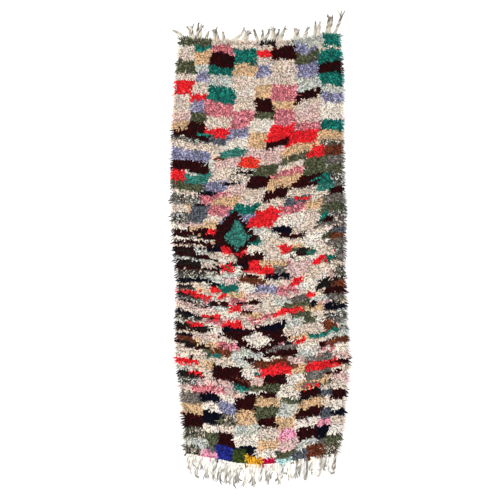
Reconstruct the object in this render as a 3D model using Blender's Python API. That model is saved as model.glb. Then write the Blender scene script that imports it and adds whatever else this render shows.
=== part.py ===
"""A long shaggy rag-pile rug of the boucherouite kind, lying flat, with its warp ends as a fringe.

Metres, +Z up. The origin is on the floor, under the middle of the pile field. X runs across the
rug and Y along it. +Y is the far end, with a few loose tassels, and -Y is the near end, with a
close row of thin warp ends. The pile is one lumpy slab with locks at its rim, and each fringe is
a narrow woven heading with its warp ends fused to it.
"""

import math
import random
from typing import NamedTuple

import bmesh
import bpy
import numpy as np

# The pile field
PILE_LENGTH = 2.81
PILE_HEIGHT = 0.026
RIM_HEIGHT = 0.016
RIM_ROUND = 0.055
LUMP_HEIGHT = 0.0035
SWELL_HEIGHT = 0.0022
SWELL_LENGTH = 0.31
CELLS_ACROSS = 30
CELLS_ALONG = 74

# The heading under each end of the pile, and the gap that keeps it apart from the pile
HEADING_HEIGHT = 0.006
HEADING_DEPTH = 0.011
SEAM_GAP = 0.0006
SHELF_HEIGHT = HEADING_HEIGHT + 0.001

# The locks that reach past the rim
SIDE_LOCK_LENGTH = 0.028
SIDE_LOCK_SPREAD = 0.011
SIDE_LOCK_DRIFT = 0.20
END_LOCK_LENGTH = 0.016
END_LOCK_SPREAD = 0.005
END_LOCK_EVERY = 2
LOCK_TIP_HEIGHT = 0.0045
LOCK_WAIST_SHARE = 0.56
LOCK_TIP_SHARE = 0.24

# The warp ends
TASSEL_WIDTH = 0.0125
TASSEL_HEIGHT = 0.0058
TASSEL_SPACING = 0.016
TASSEL_WAVE = 0.002
WARP_END_WIDTH = 0.0105
WARP_END_HEIGHT = 0.0056
WARP_END_COUNT = 43
WARP_END_SPREAD = 0.020
WARP_END_DRIFT = 0.013
WARP_END_WAVE = 0.0045
STRAND_SECTIONS = 4
STRAND_TIP_SHARE = 0.55
STRAND_CLEARANCE = 0.003

WOOL_COLOUR = (0.62, 0.53, 0.43, 1.0)
WARP_COLOUR = (0.70, 0.66, 0.57, 1.0)
WOOL_ROUGHNESS = 0.95
WARP_ROUGHNESS = 0.85
SEED = 41


class SideStation(NamedTuple):
    """How far the pile's two sides lie from the centreline, at a share of the way to the near end."""

    share: float
    left: float
    right: float


class EndStation(NamedTuple):
    """How far the pile's far and near ends bow towards +Y, at a share of the way across."""

    share: float
    far: float
    near: float


class Tassel(NamedTuple):
    """A cluster of warp ends at the far end. A positive lean is to the left, and fan is its spread."""

    share: float
    strands: int
    lean_deg: float
    fan_deg: float
    length: float


class ReachStation(NamedTuple):
    """How long the near end's warp ends are, at a share of the way across."""

    share: float
    length: float


class Section(NamedTuple):
    """An upright section of a strand: its middle on the floor, the strand's heading, and its size."""

    centre: np.ndarray
    heading: np.ndarray
    width: float
    low: float
    high: float


class Strand(NamedTuple):
    """A warp end: its root's share across the heading, its width, and its sections past the root."""

    share: float
    width: float
    sections: list


SIDES = (
    SideStation(share=0.00, left=0.524, right=0.530),
    SideStation(share=0.10, left=0.550, right=0.554),
    SideStation(share=0.22, left=0.574, right=0.554),
    SideStation(share=0.33, left=0.577, right=0.554),
    SideStation(share=0.43, left=0.577, right=0.570),
    SideStation(share=0.50, left=0.567, right=0.564),
    SideStation(share=0.58, left=0.537, right=0.564),
    SideStation(share=0.68, left=0.547, right=0.577),
    SideStation(share=0.77, left=0.550, right=0.597),
    SideStation(share=0.83, left=0.520, right=0.580),
    SideStation(share=0.92, left=0.494, right=0.557),
    SideStation(share=1.00, left=0.487, right=0.517),
)

ENDS = (
    EndStation(share=0.00, far=0.018, near=0.058),
    EndStation(share=0.15, far=0.006, near=0.032),
    EndStation(share=0.35, far=-0.004, near=-0.006),
    EndStation(share=0.50, far=-0.009, near=-0.014),
    EndStation(share=0.65, far=-0.005, near=0.000),
    EndStation(share=0.80, far=0.013, near=0.029),
    EndStation(share=0.92, far=0.044, near=0.051),
    EndStation(share=1.00, far=0.040, near=0.061),
)

TASSELS = (
    Tassel(share=0.020, strands=1, lean_deg=62.0, fan_deg=0.0, length=0.092),
    Tassel(share=0.074, strands=2, lean_deg=17.0, fan_deg=12.0, length=0.092),
    Tassel(share=0.116, strands=2, lean_deg=-15.0, fan_deg=12.0, length=0.104),
    Tassel(share=0.160, strands=1, lean_deg=-24.0, fan_deg=0.0, length=0.068),
    Tassel(share=0.236, strands=2, lean_deg=10.0, fan_deg=14.0, length=0.088),
    Tassel(share=0.284, strands=1, lean_deg=8.0, fan_deg=0.0, length=0.068),
    Tassel(share=0.316, strands=1, lean_deg=-42.0, fan_deg=0.0, length=0.126),
    Tassel(share=0.400, strands=2, lean_deg=-30.0, fan_deg=16.0, length=0.082),
    Tassel(share=0.506, strands=3, lean_deg=-2.0, fan_deg=40.0, length=0.086),
    Tassel(share=0.605, strands=5, lean_deg=-14.0, fan_deg=34.0, length=0.094),
    Tassel(share=0.734, strands=2, lean_deg=-4.0, fan_deg=12.0, length=0.078),
    Tassel(share=0.780, strands=2, lean_deg=-24.0, fan_deg=10.0, length=0.092),
    Tassel(share=0.858, strands=3, lean_deg=-8.0, fan_deg=8.0, length=0.104),
    Tassel(share=0.931, strands=3, lean_deg=-5.0, fan_deg=8.0, length=0.126),
    Tassel(share=0.974, strands=1, lean_deg=-14.0, fan_deg=0.0, length=0.162),
)

WARP_END_REACH = (
    ReachStation(share=0.00, length=0.100),
    ReachStation(share=0.07, length=0.140),
    ReachStation(share=0.32, length=0.142),
    ReachStation(share=0.50, length=0.118),
    ReachStation(share=0.93, length=0.112),
    ReachStation(share=1.00, length=0.098),
)


def between(stations, column, share):
    """A column's value at a share, half eased so that the outline bends softly at each station."""
    after = next(i for i in range(1, len(stations)) if share <= stations[i].share or i == len(stations) - 1)
    start, end = stations[after - 1], stations[after]
    part = (share - start.share) / (end.share - start.share)
    eased = (part + part * part * (3.0 - 2.0 * part)) / 2.0
    return getattr(start, column) + (getattr(end, column) - getattr(start, column)) * eased


def on_rug(across, along):
    """The point of the floor at a share across from the left and a share along from the far end."""
    left, right = between(SIDES, "left", along), between(SIDES, "right", along)
    far = PILE_LENGTH / 2 + between(ENDS, "far", across)
    near = -PILE_LENGTH / 2 + between(ENDS, "near", across)
    return np.array([-left + (left + right) * across, far + (near - far) * along])


def on_end_wall(across, end):
    """The point of the pile's end wall at a share across, on the straight line between two cells."""
    along = 0.0 if end == "far" else 1.0
    cell = min(int(across * CELLS_ACROSS), CELLS_ACROSS - 1)
    start, stop = on_rug(cell / CELLS_ACROSS, along), on_rug((cell + 1) / CELLS_ACROSS, along)
    return start + (stop - start) * (across * CELLS_ACROSS - cell)


def end_width(end):
    """The width of the pile at one end."""
    along = 0.0 if end == "far" else 1.0
    return between(SIDES, "left", along) + between(SIDES, "right", along)


def pile_top(across, along, chance):
    """The height of the pile's lumpy top, lower where it rounds off towards the rim."""
    x, y = on_rug(across, along)
    width = between(SIDES, "left", along) + between(SIDES, "right", along)
    inset = min(min(across, 1.0 - across) * width, min(along, 1.0 - along) * PILE_LENGTH)
    part = min(inset / RIM_ROUND, 1.0)
    crown = RIM_HEIGHT + (PILE_HEIGHT - RIM_HEIGHT) * math.sin(part * math.pi / 2)
    turn = 2.0 * math.pi / SWELL_LENGTH
    swell = SWELL_HEIGHT * math.sin(turn * (x + 0.6 * y)) * math.cos(turn * (0.7 * y - 0.4 * x))
    lump = LUMP_HEIGHT * chance.uniform(-1.0, 1.0)
    return crown + swell * part + lump * (0.4 + 0.6 * part)


def reshape(face, section):
    """Moves a four-cornered upright face so that it becomes a strand's section."""
    side = np.array([-section.heading[1], section.heading[0]])
    corners = [np.array(vertex.co) for vertex in face.verts]
    middle = sum(corners) / len(corners)
    for vertex, corner in zip(face.verts, corners):
        offset = corner - middle
        half = math.copysign(section.width / 2, float(offset[:2] @ side))
        spot = section.centre + side * half
        vertex.co = (spot[0], spot[1], section.high if offset[2] > 0 else section.low)


def grow(mesh, face, sections):
    """Extrudes a face through a list of sections, each from the one before."""
    tip = face
    for section in sections:
        tip = bmesh.ops.extrude_discrete_faces(mesh, faces=[tip])["faces"][0]
        reshape(tip, section)


def root_of(face):
    """An upright face's middle on the floor, its level outward direction, its width and its heights."""
    spots = [np.array([vertex.co.x, vertex.co.y]) for vertex in face.verts]
    heights = sorted(vertex.co.z for vertex in face.verts)
    face.normal_update()
    outward = np.array([face.normal.x, face.normal.y])
    width = max(float(np.linalg.norm(a - b)) for a in spots for b in spots)
    return sum(spots) / len(spots), outward / np.linalg.norm(outward), width, heights[0], heights[-1]


def grow_side_lock(mesh, face, chance):
    """Grows one lock of pile out of a long side. It droops until its tip lies on the floor."""
    root, outward, width, low, high = root_of(face)
    sideways = np.array([-outward[1], outward[0]]) * width * SIDE_LOCK_DRIFT * chance.uniform(-1.0, 1.0)
    length = SIDE_LOCK_LENGTH + SIDE_LOCK_SPREAD * chance.uniform(-1.0, 1.0)
    waist_middle = root + outward * 0.5 * length + 0.5 * sideways
    tip_middle = root + outward * length + sideways
    waist_low = 0.4 * low
    waist_high = waist_low + 0.5 * (high - low + LOCK_TIP_HEIGHT)
    grow(mesh, face, [
        Section(waist_middle, outward, width * LOCK_WAIST_SHARE, waist_low, waist_high),
        Section(tip_middle, outward, width * LOCK_TIP_SHARE, 0.0, LOCK_TIP_HEIGHT),
    ])


def grow_end_lock(mesh, face, chance):
    """Grows one lock of pile out over the heading, clear of its top."""
    root, outward, width, low, high = root_of(face)
    length = END_LOCK_LENGTH + END_LOCK_SPREAD * chance.uniform(-1.0, 1.0)
    waist = Section(root + outward * 0.5 * length, outward, width * LOCK_WAIST_SHARE, low,
                    low + 0.7 * (high - low))
    tip = Section(root + outward * length, outward, width * LOCK_TIP_SHARE, low, low + LOCK_TIP_HEIGHT)
    grow(mesh, face, [waist, tip])


def middle_between(face, axis, low, high):
    """Whether the middle of a face lies between two values on an axis."""
    return low < face.calc_center_median()[axis] < high


def raise_faces(mesh, faces):
    """Extrudes a region of level faces straight up by one level, and returns the raised faces."""
    raised = bmesh.ops.extrude_face_region(mesh, geom=faces)["geom"]
    corners = [item for item in raised if isinstance(item, bmesh.types.BMVert)]
    bmesh.ops.translate(mesh, verts=corners, vec=(0.0, 0.0, 1.0))
    return [item for item in raised if isinstance(item, bmesh.types.BMFace)]


def build_pile_mesh():
    """The pile as one solid: a lumpy slab with a flat underside and locks at its rim.

    It starts as a block whose corners hold a share across, a share along and a level. The levels
    are the floor, the shelf over the headings, and the top.
    """
    chance = random.Random(SEED)
    mesh = bmesh.new()
    bmesh.ops.create_grid(mesh, x_segments=CELLS_ACROSS, y_segments=CELLS_ALONG, size=0.5)
    bmesh.ops.translate(mesh, verts=mesh.verts, vec=(0.5, 0.5, 0.0))
    underside = list(mesh.faces)
    shelf = raise_faces(mesh, underside)
    raise_faces(mesh, shelf)
    bmesh.ops.delete(mesh, geom=[face for face in shelf if face.is_valid], context="FACES")
    bmesh.ops.dissolve_faces(mesh, faces=underside, use_verts=True)
    bmesh.ops.recalc_face_normals(mesh, faces=mesh.faces)

    rim = 0.25 / max(CELLS_ACROSS, CELLS_ALONG)
    walls = [face for face in mesh.faces if abs(face.normal.z) < 0.5]
    low_row = [face for face in walls if middle_between(face, 2, 0.0, 1.0)]
    high_row = [face for face in walls if middle_between(face, 2, 1.0, 2.0)]
    ends = [face for face in high_row if not middle_between(face, 1, rim, 1.0 - rim)]
    side_cells = {}
    for level, row in enumerate((low_row, high_row)):
        for face in row:
            middle = face.calc_center_median()
            if not rim < middle.x < 1.0 - rim:
                side_cells[(middle.x > 0.5, int(middle.y * CELLS_ALONG), level)] = face

    for vertex in mesh.verts:
        across, along, level = vertex.co
        spot = on_rug(across, along)
        height = (0.0, SHELF_HEIGHT, None)[round(level)]
        if height is None:
            height = pile_top(across, along, chance)
        vertex.co = (spot[0], spot[1], height)

    for (is_right, cell, level), face in sorted(side_cells.items()):
        if (cell + is_right) % 2 == level:
            grow_side_lock(mesh, face, chance)
    for face in sorted(ends, key=lambda f: tuple(f.calc_center_median()))[::END_LOCK_EVERY]:
        grow_end_lock(mesh, face, chance)
    bmesh.ops.recalc_face_normals(mesh, faces=mesh.faces)
    return mesh


def strand_sections(root, end_point, outward, wave, width, height):
    """The sections of a warp end that runs along the floor from its root to an end point."""
    line = end_point - root
    turned = np.array([-line[1], line[0]]) / np.linalg.norm(line)
    spots = [root]
    for step in range(1, STRAND_SECTIONS + 1):
        part = step / STRAND_SECTIONS
        straight_out = outward * np.linalg.norm(line) * part * (1.0 - part) * 0.5
        spots.append(root + line * part + straight_out + turned * wave * math.sin(2.0 * math.pi * part))
    sections = []
    for step in range(1, STRAND_SECTIONS + 1):
        following = spots[min(step + 1, STRAND_SECTIONS)]
        heading = following - spots[step - 1]
        taper = 1.0 - (1.0 - STRAND_TIP_SHARE) * (step / STRAND_SECTIONS) ** 2
        sections.append(Section(spots[step], heading / np.linalg.norm(heading), width * taper, 0.0,
                                height * taper))
    return sections


def tassel_strands():
    """The warp ends of the far end, in loose clusters that lean and fan out."""
    chance = random.Random(SEED + 1)
    strands = []
    for tassel in TASSELS:
        for number in range(tassel.strands):
            order = number - (tassel.strands - 1) / 2
            share = tassel.share + order * TASSEL_SPACING / end_width("far")
            fan = order * tassel.fan_deg / max(tassel.strands - 1, 1)
            lean = math.radians(tassel.lean_deg - fan)
            length = tassel.length * chance.uniform(0.86, 1.08)
            root = on_end_wall(share, "far") + np.array([0.0, SEAM_GAP + HEADING_DEPTH])
            end_point = root + length * np.array([-math.sin(lean), math.cos(lean)])
            wave = TASSEL_WAVE * chance.uniform(-1.0, 1.0)
            sections = strand_sections(root, end_point, np.array([0.0, 1.0]), wave, TASSEL_WIDTH,
                                       TASSEL_HEIGHT)
            strands.append(Strand(share, TASSEL_WIDTH, sections))
    return strands


def warp_end_strands():
    """The warp ends of the near end, a close row whose tips drift a little but never cross."""
    chance = random.Random(SEED + 2)
    strands = []
    last_tip = -math.inf
    for number in range(WARP_END_COUNT):
        share = (number + 0.5) / WARP_END_COUNT
        root = on_end_wall(share, "near") - np.array([0.0, SEAM_GAP + HEADING_DEPTH])
        length = between(WARP_END_REACH, "length", share) + WARP_END_SPREAD * chance.uniform(-1.0, 1.0)
        drift = WARP_END_DRIFT * chance.uniform(-1.0, 1.0)
        tip = max(root[0] + drift, last_tip + WARP_END_WIDTH + STRAND_CLEARANCE)
        last_tip = tip
        wave = WARP_END_WAVE * chance.uniform(-1.0, 1.0)
        end_point = np.array([tip, root[1] - length])
        sections = strand_sections(root, end_point, np.array([0.0, -1.0]), wave, WARP_END_WIDTH,
                                   WARP_END_HEIGHT)
        strands.append(Strand(share, WARP_END_WIDTH, sections))
    return strands


def heading_stations(end, strands):
    """The shares across at which a heading has a corner: both edges of each root, and each bend."""
    roots = [(strand.share, strand.width / 2 / end_width(end)) for strand in strands]
    edges = [share + way * half for share, half in roots for way in (-1, 1)]
    bends = [cell / CELLS_ACROSS for cell in range(CELLS_ACROSS + 1)]
    clear = [bend for bend in bends if all(abs(bend - share) > 1.1 * half for share, half in roots)]
    return sorted(edges + clear)


def build_fringe_mesh(end, strands):
    """One fringe as one solid: a narrow heading along an end of the pile, and its warp ends."""
    outward = 1.0 if end == "far" else -1.0
    mesh = bmesh.new()
    rows = []
    for station in heading_stations(end, strands):
        spot = on_end_wall(station, end)
        inner = mesh.verts.new((spot[0], spot[1] + outward * SEAM_GAP, 0.0))
        outer = mesh.verts.new((spot[0], spot[1] + outward * (SEAM_GAP + HEADING_DEPTH), 0.0))
        rows.append((inner, outer))
    for (inner_a, outer_a), (inner_b, outer_b) in zip(rows, rows[1:]):
        mesh.faces.new((inner_a, outer_a, outer_b, inner_b))
    raised = bmesh.ops.extrude_face_region(mesh, geom=list(mesh.faces))["geom"]
    tops = [item for item in raised if isinstance(item, bmesh.types.BMVert)]
    bmesh.ops.translate(mesh, verts=tops, vec=(0.0, 0.0, HEADING_HEIGHT))
    bmesh.ops.recalc_face_normals(mesh, faces=mesh.faces)

    walls = [face for face in mesh.faces if face.normal.y * outward > 0.5]
    places = [(on_end_wall(strand.share, end)[0], strand) for strand in strands]
    roots = [(min(walls, key=lambda face: abs(face.calc_center_median().x - place)), strand)
             for place, strand in places]
    for face, strand in roots:
        grow(mesh, face, strand.sections)
    bmesh.ops.recalc_face_normals(mesh, faces=mesh.faces)
    return mesh


def add_piece(name, mesh, material):
    """Turns a bmesh into a named object with one material, shaded smooth between its sharp edges."""
    data = bpy.data.meshes.new(name)
    mesh.to_mesh(data)
    mesh.free()
    data.shade_smooth()
    data.set_sharp_from_angle(angle=math.radians(40.0))
    data.materials.append(material)
    piece = bpy.data.objects.new(name, data)
    bpy.context.scene.collection.objects.link(piece)
    return piece


def yarn_material(name, colour, roughness):
    """A plain matt yarn finish."""
    material = bpy.data.materials.new(name)
    material.use_nodes = True
    shader = material.node_tree.nodes["Principled BSDF"]
    shader.inputs["Base Color"].default_value = colour
    shader.inputs["Roughness"].default_value = roughness
    shader.inputs["Metallic"].default_value = 0.0
    return material


def main():
    """Builds the pile field and its two fringes."""
    for leftover in list(bpy.data.objects):
        bpy.data.objects.remove(leftover)
    wool = yarn_material("pile_wool", WOOL_COLOUR, WOOL_ROUGHNESS)
    warp = yarn_material("warp_yarn", WARP_COLOUR, WARP_ROUGHNESS)
    add_piece("pile_field", build_pile_mesh(), wool)
    add_piece("fringe_far", build_fringe_mesh("far", tassel_strands()), warp)
    add_piece("fringe_near", build_fringe_mesh("near", warp_end_strands()), warp)


main()
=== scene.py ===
"""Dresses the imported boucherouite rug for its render.

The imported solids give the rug's outline, its depth and the routes of its warp ends. Round them this
script lays a woven ground, thousands of separate locks of rag and yarn in a patchwork, and at both
ends a twined heading with the twisted warp yarns that hang out of it. Metres, +Z up, +Y the far end.
"""

import logging
import math
import random
from dataclasses import dataclass, field
from enum import Enum
from typing import NamedTuple

import bmesh
import bpy
import numpy as np
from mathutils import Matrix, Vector


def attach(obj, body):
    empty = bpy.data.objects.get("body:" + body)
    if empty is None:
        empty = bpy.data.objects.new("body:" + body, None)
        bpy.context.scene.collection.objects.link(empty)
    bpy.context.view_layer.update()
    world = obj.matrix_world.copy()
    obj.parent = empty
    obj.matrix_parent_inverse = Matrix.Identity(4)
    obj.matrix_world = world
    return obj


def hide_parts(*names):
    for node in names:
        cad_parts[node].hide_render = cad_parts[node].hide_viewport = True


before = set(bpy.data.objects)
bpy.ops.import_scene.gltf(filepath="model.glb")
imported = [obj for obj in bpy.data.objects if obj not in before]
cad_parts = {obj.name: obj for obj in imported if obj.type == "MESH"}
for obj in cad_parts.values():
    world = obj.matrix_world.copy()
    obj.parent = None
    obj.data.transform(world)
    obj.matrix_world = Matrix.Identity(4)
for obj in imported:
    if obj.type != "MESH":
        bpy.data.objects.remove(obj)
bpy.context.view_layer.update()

BODY = "root"
# The colour layer of each piece: its yarns' colours, with painted shade and light on the pile and the
# ground
COLOUR_LAYER = "yarn_colour"
FIBRE_MAP = "Fibre"
BAKE_MAP = "OFBake"

log = logging.getLogger("boucherouite_rug")


def srgb(colour: str) -> tuple[float, float, float]:
    """Turns an sRGB hex colour to linear red, green and blue.

    Args:
        colour: The colour as "#RRGGBB".

    Returns:
        The three linear values.
    """
    values = [int(colour[place:place + 2], 16) / 255.0 for place in (1, 3, 5)]
    return tuple(v / 12.92 if v <= 0.04045 else ((v + 0.055) / 1.055) ** 2.4 for v in values)


def add_node(tree: bpy.types.NodeTree, kind: str, settings: dict | None = None,
             links: dict | None = None) -> bpy.types.Node:
    """Adds a shader node with its settings and its incoming links.

    Args:
        tree: The material's node tree.
        kind: The node's type name.
        settings: Attribute names, or input names, with the values they take.
        links: Input names with the output sockets that feed them.

    Returns:
        The new node.
    """
    node = tree.nodes.new(kind)
    for name, value in (settings or {}).items():
        if hasattr(node, name):
            setattr(node, name, value)
        else:
            node.inputs[name].default_value = value
    for name, socket in (links or {}).items():
        tree.links.new(socket, node.inputs[name])
    return node


def wander(x: np.ndarray, y: np.ndarray, length: float, phase: float) -> np.ndarray:
    """A smooth, uneven field of -1 to 1 over the rug.

    Args:
        x: Places across, in metres.
        y: Places along, in metres.
        length: The rough length of one wave, in metres.
        phase: A number that makes one field unlike another.

    Returns:
        The field's value at each place.
    """
    turn = 2.0 * math.pi / length
    waves = (np.sin(turn * (x + 0.4 * y) + phase)
             + np.sin(turn * (0.5 * x - 1.1 * y) + 2.3 * phase)
             + 0.6 * np.sin(turn * 2.1 * (0.8 * x + 0.7 * y) + 1.7 * phase))
    return waves / 2.6


def smooth_step(low: float, high: float, value: np.ndarray) -> np.ndarray:
    """Eases from 0 at low to 1 at high."""
    part = np.clip((value - low) / (high - low), 0.0, 1.0)
    return part * part * (3.0 - 2.0 * part)


def fill(items: bpy.types.bpy_prop_collection, attribute: str, values: np.ndarray) -> None:
    """Sets one attribute of all the items of a mesh, from whole numbers or from decimals."""
    kind = np.int32 if np.issubdtype(values.dtype, np.integer) else np.float32
    items.foreach_set(attribute, values.astype(kind).ravel())


def lay_colours(data: bpy.types.Mesh, domain: str, colours: np.ndarray) -> None:
    """Gives a mesh its colours: the yarns' own, with any painted shade and light in them.

    Args:
        data: The mesh.
        domain: What each colour belongs to, "POINT" or "CORNER".
        colours: The linear colours.
    """
    layer = data.attributes.new(COLOUR_LAYER, "FLOAT_COLOR", domain)
    opaque = np.ones(colours.shape[:-1] + (1,))
    fill(layer.data, "color", np.concatenate([colours, opaque], axis=-1))


def settle_faces(mesh: bmesh.types.BMesh) -> None:
    """Puts a drawn mesh's faces in the order of their corners.

    An extrusion adds its faces in an order that changes from run to run, and this makes each run's
    the same.

    Args:
        mesh: The mesh, which this changes.
    """
    mesh.verts.index_update()
    ordered = sorted(mesh.faces, key=lambda face: sorted(vertex.index for vertex in face.verts))
    for number, face in enumerate(ordered):
        face.index = number
    mesh.faces.sort()


def take_mesh(name: str, mesh: bmesh.types.BMesh) -> bpy.types.Mesh:
    """Turns a drawn mesh into mesh data, and frees it.

    Args:
        name: The data's name.
        mesh: The drawn mesh.

    Returns:
        The mesh data.
    """
    data = bpy.data.meshes.new(name)
    mesh.to_mesh(data)
    mesh.free()
    return data


def add_object(name: str, data: bpy.types.ID) -> bpy.types.Object:
    """Adds mesh, lamp or camera data to the scene as an object.

    Args:
        name: The object's name.
        data: What the object shows.

    Returns:
        The new object.
    """
    added = bpy.data.objects.new(name, data)
    bpy.context.scene.collection.objects.link(added)
    return added


class Fibre(Enum):
    """What a yarn or torn strip is made of."""

    MATT = "wool and cotton"
    GLOSSY = "acrylic"


class Yarn(Enum):
    """The yarns and torn strips of the pile, each with its colour as sRGB hex, its fibre, and how
    unevenly it was dyed, as a share of its brightness."""

    CREAM = ("#EBD8C7", Fibre.MATT, 0.11)
    IVORY = ("#FAEDDF", Fibre.MATT, 0.08)
    BLUSH = ("#E8C6BE", Fibre.MATT, 0.14)
    STONE = ("#D2D3C9", Fibre.MATT, 0.18)
    TAN = ("#E4BE94", Fibre.MATT, 0.13)
    PINK = ("#DA8088", Fibre.GLOSSY, 0.42)
    LIGHT_PINK = ("#F6A0B9", Fibre.GLOSSY, 0.28)
    RED = ("#FB2830", Fibre.GLOSSY, 0.26)
    CORAL = ("#FF402E", Fibre.GLOSSY, 0.16)
    CRIMSON = ("#D01248", Fibre.GLOSSY, 0.26)
    MAROON = ("#2C0305", Fibre.MATT, 0.45)
    TEAL = ("#1C7468", Fibre.GLOSSY, 0.44)
    SEA_GREEN = ("#3E8478", Fibre.GLOSSY, 0.30)
    OLIVE = ("#595C44", Fibre.MATT, 0.40)
    GREEN = ("#3C4C22", Fibre.MATT, 0.36)
    LILAC = ("#9290AC", Fibre.GLOSSY, 0.40)
    SLATE = ("#5E636B", Fibre.MATT, 0.36)
    GREY = ("#79726B", Fibre.MATT, 0.40)
    CHARCOAL = ("#1E1A17", Fibre.MATT, 0.45)
    BROWN = ("#703A25", Fibre.MATT, 0.36)
    NAVY = ("#060618", Fibre.GLOSSY, 0.45)
    ROYAL = ("#283092", Fibre.GLOSSY, 0.34)
    MUSTARD = ("#F6B230", Fibre.GLOSSY, 0.20)
    AQUA = ("#BAE6E6", Fibre.GLOSSY, 0.20)
    TWEED = ("#6E6454", Fibre.MATT, 0.15)
    PEPPER = ("#B8B0A0", Fibre.MATT, 0.15)
    PEBBLE = ("#7C766E", Fibre.MATT, 0.15)

    def __init__(self, colour: str, fibre: Fibre, unevenness: float) -> None:
        """Names a yarn's three values."""
        self.colour = colour
        self.fibre = fibre
        self.unevenness = unevenness

    @property
    def number(self) -> int:
        """The yarn's place in YARNS."""
        return YARNS.index(self)


YARNS = list(Yarn)

# Speckled yarns, which stand for locks of several others side by side
MIXED_YARNS = {
    Yarn.TWEED: (Yarn.GREY, Yarn.CHARCOAL, Yarn.OLIVE, Yarn.GREY, Yarn.CREAM, Yarn.OLIVE),
    Yarn.PEPPER: (Yarn.IVORY, Yarn.CREAM, Yarn.CREAM, Yarn.CHARCOAL),
    Yarn.PEBBLE: (Yarn.GREY, Yarn.GREY, Yarn.CHARCOAL, Yarn.STONE),
}


def yarn_colours() -> np.ndarray:
    """The linear colour of every yarn, in the order of YARNS."""
    return np.array([srgb(yarn.colour) for yarn in YARNS])


@dataclass(frozen=True)
class Palette:
    """The yarns that one part of the rug draws from, each with how often it comes up."""

    weights: dict[Yarn, float]

    def draw(self, chance: random.Random, barred: set[int]) -> int:
        """Draws a yarn that isn't barred.

        Args:
            chance: The random draws.
            barred: The numbers of yarns that lie next to the new patch.

        Returns:
            The yarn's number in YARNS.
        """
        choices = [yarn for yarn in self.weights if yarn.number not in barred]
        weights = [self.weights[yarn] for yarn in choices]
        return chance.choices(choices, weights)[0].number


GROUND = Palette({Yarn.CREAM: 4.8, Yarn.IVORY: 2.4, Yarn.STONE: 1.4, Yarn.BLUSH: 2.0, Yarn.TAN: 1.1})
FIRST_BLOCKS = Palette({
    Yarn.CREAM: 5.0, Yarn.STONE: 3.0, Yarn.TAN: 3.0, Yarn.PINK: 4.6, Yarn.TEAL: 4.2, Yarn.MAROON: 4.4,
    Yarn.OLIVE: 2.9, Yarn.LILAC: 2.5, Yarn.RED: 2.4})
DRIFTING_BLOCKS = Palette({
    Yarn.CREAM: 4.8, Yarn.STONE: 1.9, Yarn.BLUSH: 1.3, Yarn.TAN: 2.8, Yarn.PINK: 3.0,
    Yarn.TEAL: 0.9, Yarn.SEA_GREEN: 1.1, Yarn.RED: 2.9, Yarn.CORAL: 0.9, Yarn.OLIVE: 2.6,
    Yarn.LILAC: 1.7, Yarn.MAROON: 3.6, Yarn.SLATE: 0.5, Yarn.PEPPER: 0.4})
SHORT_BARS = Palette({
    Yarn.RED: 4.0, Yarn.MAROON: 5.0, Yarn.TEAL: 2.2, Yarn.NAVY: 1.6, Yarn.OLIVE: 2.2, Yarn.PINK: 2.6,
    Yarn.LILAC: 0.7, Yarn.TAN: 1.2, Yarn.GREY: 1.4, Yarn.BROWN: 0.7, Yarn.CHARCOAL: 0.7})
BLOTS = Palette({
    Yarn.RED: 2.8, Yarn.MAROON: 4.4, Yarn.BROWN: 1.4, Yarn.OLIVE: 1.3, Yarn.TEAL: 1.3, Yarn.TAN: 2.2,
    Yarn.PINK: 1.4, Yarn.NAVY: 0.8, Yarn.GREY: 1.2})
LAST_BLOCKS = Palette({
    Yarn.IVORY: 5.8, Yarn.CREAM: 2.6, Yarn.STONE: 0.9, Yarn.BLUSH: 0.9, Yarn.TAN: 2.4,
    Yarn.MAROON: 5.0, Yarn.NAVY: 4.8, Yarn.OLIVE: 2.6, Yarn.LILAC: 1.1, Yarn.GREY: 0.9,
    Yarn.TWEED: 0.7, Yarn.SLATE: 0.7, Yarn.LIGHT_PINK: 0.4, Yarn.TEAL: 0.3, Yarn.RED: 0.2})
DARK_EDGE = Palette({
    Yarn.OLIVE: 2.4, Yarn.MAROON: 3, Yarn.RED: 2.4, Yarn.STONE: 2.2, Yarn.CREAM: 2.4, Yarn.LILAC: 1.2,
    Yarn.PEBBLE: 1.6})
BARRED_EDGE = Palette({
    Yarn.IVORY: 3.0, Yarn.CREAM: 3.4, Yarn.STONE: 1.0, Yarn.CHARCOAL: 4.0, Yarn.PEBBLE: 1.6,
    Yarn.MAROON: 3.4, Yarn.NAVY: 1.4, Yarn.TWEED: 0.9, Yarn.RED: 1.1, Yarn.BLUSH: 1.2, Yarn.BROWN: 0.6})
GREY_EDGE = Palette({
    Yarn.PEBBLE: 4, Yarn.GREY: 3, Yarn.CHARCOAL: 1.0, Yarn.BROWN: 1.2, Yarn.CREAM: 2, Yarn.MAROON: 1.2,
    Yarn.SLATE: 1.0, Yarn.NAVY: 0.5, Yarn.TWEED: 1.2, Yarn.STONE: 1.4, Yarn.OLIVE: 1.2})
DARK_DASHES = Palette({
    Yarn.MAROON: 4.6, Yarn.CHARCOAL: 1.8, Yarn.NAVY: 1.4, Yarn.RED: 1.8, Yarn.TEAL: 0.9,
    Yarn.PINK: 0.9, Yarn.OLIVE: 1.2, Yarn.BROWN: 1, Yarn.GREY: 1.0, Yarn.IVORY: 2.4})


class Lay(Enum):
    """How a zone's patches are laid."""

    COLUMNS = "stacked in columns"
    COURSES = "side by side in courses"


@dataclass(frozen=True)
class EdgeBars:
    """Thin bars that start at a long side of the rug and reach in by unequal lengths, in metres. The
    first one lies a share of the zone's length from its start."""

    reach: float
    shortest: float
    longest: float
    yarns: Palette
    first: float = 0.0


@dataclass(frozen=True)
class Dashes:
    """Thin bars scattered over a zone's patches: how many, and their sizes in metres. The first
    ones lie a share of the zone's length from its start."""

    count: int
    yarns: Palette
    first: float = 0.0
    shortest: float = 0.040
    longest: float = 0.150
    thinnest: float = 0.014
    thickest: float = 0.028
    steepest: float = 0.16


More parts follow.
